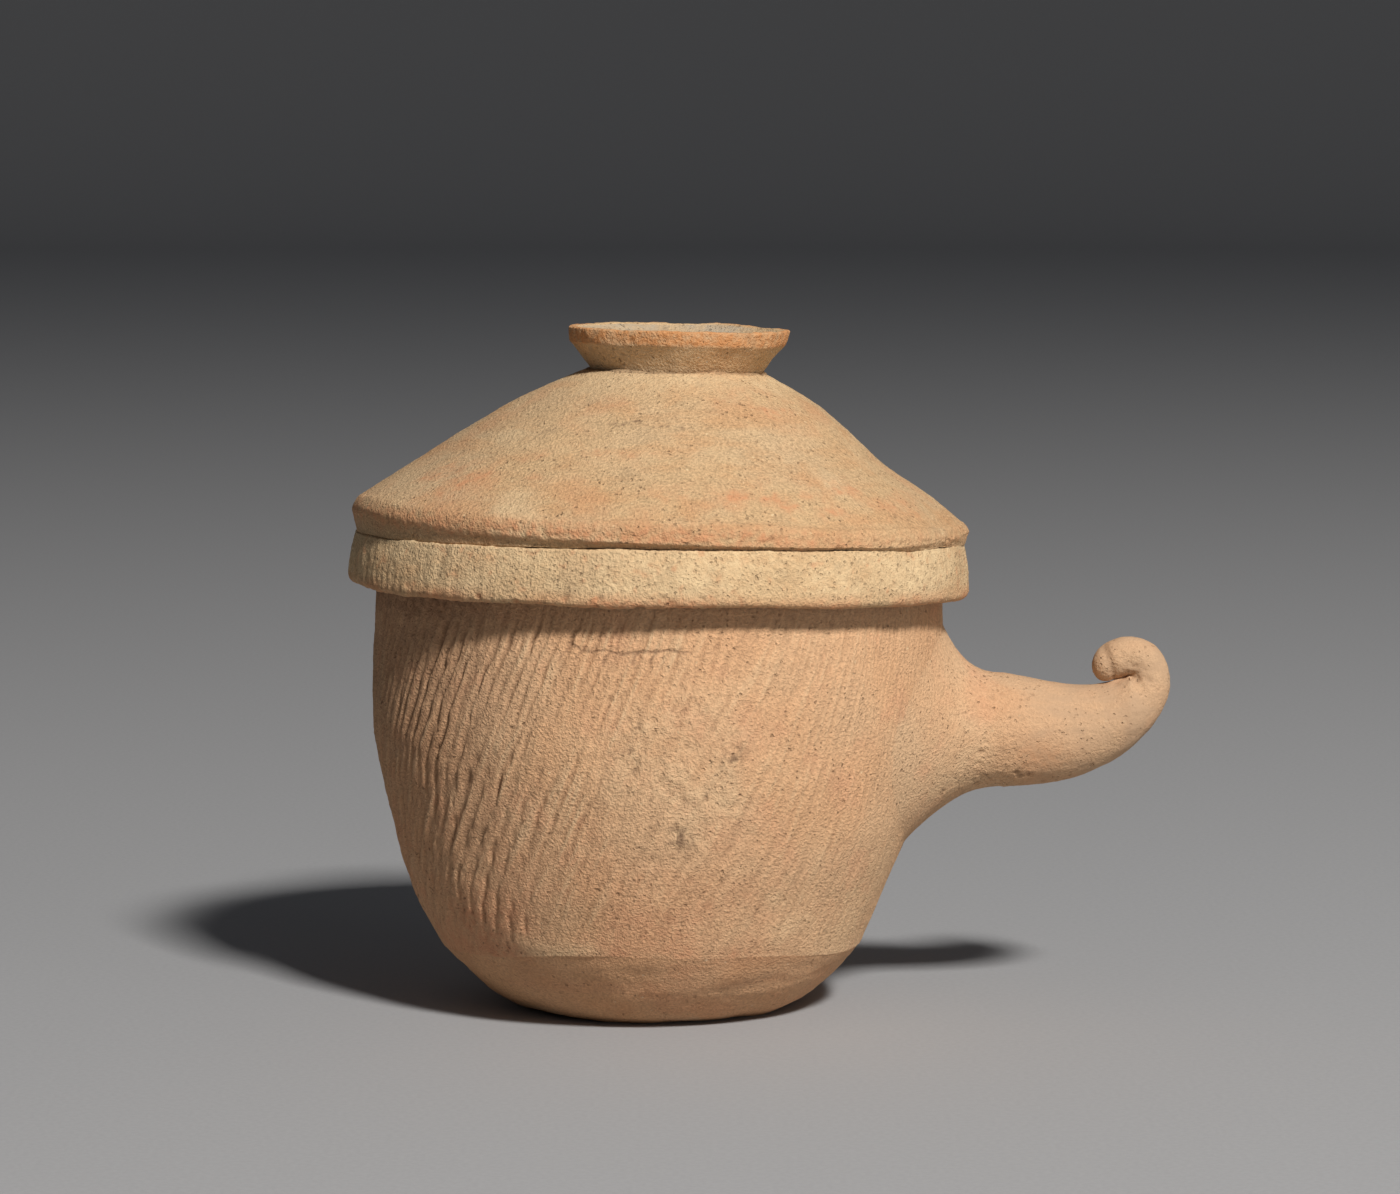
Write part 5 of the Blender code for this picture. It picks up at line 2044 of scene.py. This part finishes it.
    def groove_share(self, turn: Grid) -> Grid:
        """How open the groove over the skirt is: widest at the front, nearly shut by the handle."""
        width = np.where(turn < self.groove_turn, *self.groove_widths)
        return self.groove_least + (1.0 - self.groove_least) * bell(turn, self.groove_turn, width)

    def lower_end(self, turn: Grid) -> Grid:
        """Radius of the cone's sole at the crease: set in by the groove, proud where it is smeared shut."""
        cut = (1.0 + self.groove_fill) * self.groove_share(turn) - self.groove_fill
        return self.crease - self.groove * cut

    def lip_drop(self, turn: Grid) -> Grid:
        """How far the end of the slope sags: down by the handle and a little up on the other side."""
        right, left = two_sides(turn)
        return self.lip_sag * right - self.lip_lift * left

    def crease_level(self, turn: Grid) -> Grid:
        """Height of the crease between the cone and the skirt over the seat: a little higher at the front."""
        return -self.seat_depth + self.crease_rise * bell(turn, self.crease_turn, self.crease_width)

    def ledge_lift(self, turn: Grid) -> Grid:
        """How far the ledge stands over its mean level: higher on the left, lower by the handle, wavy."""
        return waves(turn, self.ledge_waves)

    def slope_bulge(self, turn: Grid, radius: Grid) -> Grid:
        """Hand-shaped unevenness of the cone: slack on the side of the handle, swollen on the other.

        Args:
            turn: Angles from the front.
            radius: Distances from the lid's axis.

        Returns:
            Heights to add to the cone.
        """
        right, left = two_sides(turn)
        slack = -self.slack * bell(radius, self.slack_radius, self.slack_width)
        swelling = self.swelling * bell(radius, self.swelling_radius, self.swelling_width)
        return right * slack + left * swelling

    def weather_cone(self, surface: ClaySurface, radius: Grid, height: Grid,
                     turn: Grid) -> None:
        """Press lumps, wheel lines, pits and crumbled edges into the cone and set its marks.

        Args:
            surface: Surface of the cone.
            radius: Distances from the lid's axis.
            height: Heights over the seat.
            turn: Angles from the front.
        """
        points, grain, wear = surface.points, self.grain, self.cone_wear
        outside = ease(np.arange(len(points))[:, None] + 0.0 * turn, *wear.outside_rows)
        over_nose = height - self.nose - self.ledge_lift(turn)
        edge = bell(over_nose, wear.edge_middle, wear.edge_width) * ease(radius, *wear.edge_reach) * outside
        crumbs = wear.crumbs.over(grain, points)
        pits = wear.pits.over(grain, points)
        edge_pits = wear.edge_pits.over(grain, points) * edge
        sharp = 1.0 - wear.blunt * ease(turn, *wear.blunt_turns)
        relief = sum(layer.pressed(grain, points) for layer in (wear.lumps, wear.lines, wear.sand))
        relief += edge * (wear.crumbs.depth * crumbs * sharp - wear.edge_loss)
        relief -= wear.pits.depth * pits + wear.edge_pits.depth * edge_pits * sharp
        surface.raise_by(relief * (wear.inside_share + (1.0 - wear.inside_share) * outside))
        patches = wear.patches.over(grain, points)
        specks = wear.specks_least + (1.0 - wear.specks_least) * wear.specks.eased(grain, points)
        flushed = sum(patch.over(turn, radius) for patch in wear.flushes)
        flushed = flushed * wear.blotches.eased(grain, points) * specks * outside
        plain = 1.0 - np.clip(flushed, 0.0, 1.0)
        orange = (wear.orange + wear.orange_crumbs * crumbs) * edge
        surface.marks = mixed(wear.RECIPE, {
            "pits": pits,
            "edge_pits": edge_pits,
            # Painted shade in the undercut under the ledge's nose.
            "under": ease(self.ledge - radius, *wear.under) * (height < self.nose) * outside,
            "edge": orange * (1.0 - wear.orange_loss * ease(turn, *wear.orange_turns)),
            "patches": ease(patches, *wear.patches.share),
            "flushed": flushed,
            "pale": ease(-patches, *wear.pale) * plain,
            "by_knob": ease(radius, *wear.by_knob) * plain,
            "fleck_row": wear.fleck_row(grain, turn, radius, points),
            "stains": wear.stains.eased(grain, points),
        })

    def skirt(self) -> ClaySurface:
        """Skirt: a strip that flares slightly from the crease down to a rounded, chipped lower edge.

        Returns:
            The finished surface.
        """
        angle = round_angles(self.skirt_columns, self.crowding)
        turn = turn_from_front(angle)
        open_share = self.groove_share(turn)
        top = self.crease_level(turn) - self.skirt_gap + self.skirt_shut * (1.0 - open_share)
        bottom = -self.seat_depth - self.skirt_height + waves(turn, self.skirt_waves)
        lower = self.crease + self.skirt_flare
        start = bottom + self.skirt_round
        bend = spread(-0.5 * math.pi, 0.0, 10)
        hem = (lower - self.skirt_round * (1.0 - np.cos(bend)),
               bottom + self.skirt_round * (1.0 + np.sin(bend)))
        rise = spread(0.0, 1.0, 30)[1:]
        rim = self.skirt_brim * open_share
        bulge = self.skirt_bulge * np.sin(math.pi * rise)
        face = (lower + (self.crease - lower) * rise + bulge, start + (top - rim - start) * rise)
        bend = spread(0.0, 0.5 * math.pi, 7)[1:]
        brim = (self.crease - rim * (1.0 - np.cos(bend)), top - rim + rim * np.sin(bend))
        back = (self.bore, top + (bottom - top) * spread(0.0, 1.0, 10))
        radius, height = self.turned((hem, face, brim, back), angle)
        surface = ClaySurface(self.place(radius, angle, height), ring=True)
        self.weather_skirt(surface, height, turn, len(height) - len(back[1]))
        return surface

    def weather_skirt(self, surface: ClaySurface, height: Grid, turn: Grid,
                      front_rows: int) -> None:
        """Press sandy smears, pits and chips into the skirt and set its marks.

        Args:
            surface: Surface of the skirt.
            height: Heights over the seat.
            turn: Angles from the front.
            front_rows: How many rows are on the outside.
        """
        points, grain, wear = surface.points, self.grain, self.skirt_wear
        outside = np.zeros(points.shape[:2])
        outside[:front_rows] = 1.0
        bottom = -self.seat_depth - self.skirt_height
        hem = ease(height, bottom + wear.hem, bottom) * outside
        smears = wear.smears.over(grain, points)
        pits = wear.pits.over(grain, points) * outside
        chips = wear.chips.over(grain, points) * hem
        left = ease(turn, *wear.left)
        relief = wear.lumps.pressed(grain, points) + (wear.smears.depth + wear.left_smears * left) * smears
        relief = outside * (relief + wear.sand.pressed(grain, points))
        surface.raise_by(relief - wear.pits.depth * pits - wear.chips.depth * chips)
        patches = wear.patches.over(grain, points)
        hem_level, hem_share = wear.hem_patches
        sandy_level, sandy_share = wear.sandy_patches
        surface.marks = mixed(wear.RECIPE, {
            "pits": pits,
            "chips": chips,
            "smears": left * ease(smears, *wear.smears.share),
            "hem": hem * (hem_level + hem_share * patches),
            "flecks": outside * wear.flecks.eased(grain, points),
            "sandy": outside * (1.0 - hem) * (sandy_level + sandy_share * patches),
            "stains": outside * wear.stains.eased(grain, points),
        })

    def knob(self) -> ClaySurface:
        """Knob: a foot that flares up in a powered curve to a blunt lip, with a dished top.

        Returns:
            The finished surface.
        """
        angle = round_angles(self.knob_columns)
        turn = turn_from_front(angle)
        base = self.top + self.knob_gap
        level = waves(turn, self.knob_waves) - self.knob_tilt * np.cos(turn)
        rim = self.knob_rim - self.knob_out + waves(turn, self.rim_waves)
        sole = (self.knob_foot * spread(0.0, 0.98, 5), base - self.knob_sole)
        rise = spread(0.0, 1.0, 26)
        flare_top = self.knob_height - self.knob_lip
        power = self.knob_power - self.knob_power_play * np.sin(turn)
        flare = (self.knob_foot + (rim - self.knob_corner - self.knob_foot) * rise**power,
                 base + rise * (flare_top + level * rise) + (rise - 1.0) * self.knob_sunk)
        side_top = flare_top + self.knob_side * self.knob_lip
        side = spread(0.0, 1.0, 7)[1:]
        face = (rim - self.knob_corner * (1.0 - side) ** 2 + self.knob_out * side,
                base + flare_top + level + (side_top - flare_top) * side)
        bend = spread(0.0, math.pi, 17)[1:-1]
        lip = (rim + self.knob_out - 0.5 * self.knob_edge * (1.0 - np.cos(bend)),
               base + side_top + level + (self.knob_height - side_top) * np.sin(bend) ** self.knob_lip_power)
        share = spread(1.0, 0.0, 30)
        dish_rise = (side_top + level - self.dish_floor) * share**self.dish_power
        dish = ((rim - self.knob_edge) * share, base + self.dish_floor + dish_rise)
        radius, height = self.turned((sole, flare, face, lip, dish), angle)
        surface = ClaySurface(self.place(radius, angle, height), ring=False)
        self.weather_knob(surface, radius, height - base, len(height) - len(share))
        return surface

    def weather_knob(self, surface: ClaySurface, radius: Grid, height: Grid,
                     dish_row: int) -> None:
        """Press dents, chips and pits into the knob and set its marks.

        Args:
            surface: Surface of the knob.
            radius: Distances from the lid's axis.
            height: Heights over the knob's base.
            dish_row: First row of the dished top.
        """
        points, grain, wear = surface.points, self.grain, self.knob_wear
        dished = np.zeros(points.shape[:2])
        dished[dish_row:] = 1.0
        lip = self.knob_height - self.knob_lip
        edge = ease(radius - self.knob_rim, *wear.edge_reach) * ease(height, lip - wear.edge_height, lip)
        crumbs = wear.crumbs.over(grain, points)
        pits = wear.pits.over(grain, points)
        chips = wear.chips.over(grain, points) * edge
        lumps = wear.lumps.over(grain, points)
        relief = wear.lumps.depth * lumps + (wear.crumbs.depth + wear.edge_crumbs * edge) * crumbs
        surface.raise_by(relief - wear.pits.depth * pits - wear.chips.depth * chips)
        orange_level, orange_share = wear.orange
        dusty_level, dusty_share = wear.dusty
        orange = edge * (orange_level + orange_share * crumbs)
        surface.marks = mixed(wear.RECIPE, {
            "pits": pits,
            "chips": chips,
            # Painted shade at the knob's foot, under its flare.
            "foot": ease(height, *wear.foot) * (1.0 - dished),
            "edge": orange * (1.0 - wear.orange_loss * dished),
            "dusty": dished * (dusty_level + dusty_share * lumps),
            "stains": wear.stains.eased(grain, points),
        })

    def coil(self) -> ClaySurface:
        """Luting coil: a squashed, uneven roll of clay pressed round the knob's foot.

        Returns:
            The finished surface.
        """
        angle = round_angles(self.coil_columns)
        bend = (np.arange(self.coil_rows) * FULL_TURN / self.coil_rows)[:, None]
        fat = 1.0 + waves(angle, self.coil_waves)
        radius = self.knob_foot + self.coil_out + self.coil_width * fat * np.cos(bend)
        height = self.top - self.coil_sunk + self.coil_height * fat * np.sin(bend)
        surface = ClaySurface(self.place(radius, angle, height), ring=True)
        surface.raise_by(self.coil_lumps.pressed(self.grain, surface.points))
        # The coil is darkened all over: painted shade under the knob's flare.
        strengths = {Mark.HOLLOW: self.coil_hollow_shade, Mark.WORN_AND_SHADE_TINT: 0.0, Mark.BARE_AND_LIGHT: 0.0, Mark.STAIN_AND_SHADE: self.coil_stain_shade}
        surface.marks = {mark: np.full(radius.shape, strength) for mark, strength in strengths.items()}
        return surface

    def build(self, workshop: Workshop) -> None:
        """Make the four pieces of the lid.

        Args:
            workshop: Workshop that dresses them.
        """
        workshop.settle("dome_shell", self.cone(), Body.LID, Slot.LID, ("lid_dome",))
        workshop.settle("skirt_band", self.skirt(), Body.LID, Slot.LID, ("lid_skirt",))
        workshop.settle("knob_cup", self.knob(), Body.LID, Slot.KNOB, ("knob",))
        workshop.settle("knob_coil", self.coil(), Body.LID, Slot.LID, ("knob_luting",))


@dataclass
class Studio:
    """Pale sweep of floor, one soft key light, a weak fill, dim surroundings and the camera."""

    floor_colour: Colour = (0.36, 0.352, 0.347)
    floor_flat: float = 7.0
    floor_curve: float = 2.0
    key_place: Triple = (0.983, -2.206, 2.17)
    key_size: float = 0.40
    key_power: float = 125.0
    fill_place: Triple = (1.45, -1.35, 0.18)
    fill_size: float = 0.8
    fill_power: float = 4.8
    world_colour: Colour = (0.065, 0.069, 0.077)
    camera_place: Triple = (9.7 * MM, -1.070, 0.188)
    camera_aim: Triple = (9.7 * MM, 0.0, 0.088)
    lens: float = 128.6
    lamp_aim: Triple = (0.0, 0.0, 0.07)
    floor_columns: int = 96
    floor_rows: int = 12
    sweep_rows: int = 14
    sweep_bend: float = 0.45 * math.pi
    floor_roughness: float = 0.9
    floor_grain: float = 1.2 * MM
    floor_ramp: tuple[float, ...] = (0.3, 0.7, 0.97, 1.03)

    def aim(self, thing: bpy.types.Object, target: Triple) -> None:
        """Turn a light or camera towards a place."""
        thing.rotation_euler = (Vector(target) - thing.location).to_track_quat("-Z", "Y").to_euler()

    def lamp(self, name: str, place: Triple, size: float, power: float) -> None:
        """Add a square soft light aimed at the jar.

        Args:
            name: Name of the light.
            place: Where it hangs.
            size: Side of the light.
            power: Its strength in watts.
        """
        light = bpy.data.lights.new(name, "AREA")
        light.size = size
        light.energy = power
        thing = bpy.data.objects.new(name, light)
        bpy.context.scene.collection.objects.link(thing)
        thing.location = place
        self.aim(thing, self.lamp_aim)

    def floor(self) -> None:
        """Add the floor: a disc, flat round the jar, that curves up far behind like a paper sweep."""
        angle = round_angles(self.floor_columns)
        bend = spread(0.0, self.sweep_bend, self.sweep_rows)[1:]
        flat = spread(0.0, self.floor_flat, self.floor_rows)
        radius = np.concatenate([flat, self.floor_flat + self.floor_curve * np.sin(bend)])
        height = np.concatenate([0.0 * flat, self.floor_curve * (1.0 - np.cos(bend))])
        places = np.broadcast_arrays(radius * np.cos(angle), radius * np.sin(angle), height)
        points = np.stack(places, axis=-1)
        rows, columns = points.shape[:2]
        index = np.arange(rows * columns).reshape(rows, columns)
        beside = np.roll(index, -1, axis=1)
        quads = np.stack([index[:-1], index[1:], beside[1:], beside[:-1]], axis=-1)
        mesh = bpy.data.meshes.new("sweep")
        mesh.from_pydata(points.reshape(-1, 3).tolist(), [], quads.reshape(-1, 4).tolist())
        mesh.shade_smooth()
        bench = NodeBench("pale_sweep")
        tint = bench.ramp(bench.noise(self.floor_grain, 2.0), *self.floor_ramp)
        bench.feed(bench.shader.inputs["Base Color"], bench.blend(1.0, self.floor_colour, tint, "MULTIPLY"))
        bench.feed(bench.shader.inputs["Roughness"], self.floor_roughness)
        mesh.materials.append(bench.material)
        thing = bpy.data.objects.new("sweep", mesh)
        bpy.context.scene.collection.objects.link(thing)

    def build(self) -> None:
        """Set the floor, the lights, the surroundings and the camera."""
        self.floor()
        self.lamp("key", self.key_place, self.key_size, self.key_power)
        self.lamp("fill", self.fill_place, self.fill_size, self.fill_power)
        scene = bpy.context.scene
        scene.world = bpy.data.worlds.new("surroundings")
        scene.world.use_nodes = True
        sky = scene.world.node_tree.nodes["Background"]
        sky.inputs["Color"].default_value = (*self.world_colour, 1.0)
        camera = bpy.data.cameras.new("camera")
        camera.lens = self.lens
        thing = bpy.data.objects.new("camera", camera)
        scene.collection.objects.link(thing)
        thing.location = self.camera_place
        self.aim(thing, self.camera_aim)
        scene.camera = thing
        scene.view_settings.view_transform = "Standard"


def main() -> None:
    """Build the jar, its handle, its lid and the studio."""
    logging.basicConfig(level=logging.INFO, format="%(name)s %(message)s")
    workshop = Workshop(FINISHES)
    body = JarBody.measured()
    body.build(workshop)
    HornHandle(body).build(workshop)
    Lid().build(workshop)
    Studio().build()


if __name__ == "__main__":
    main()
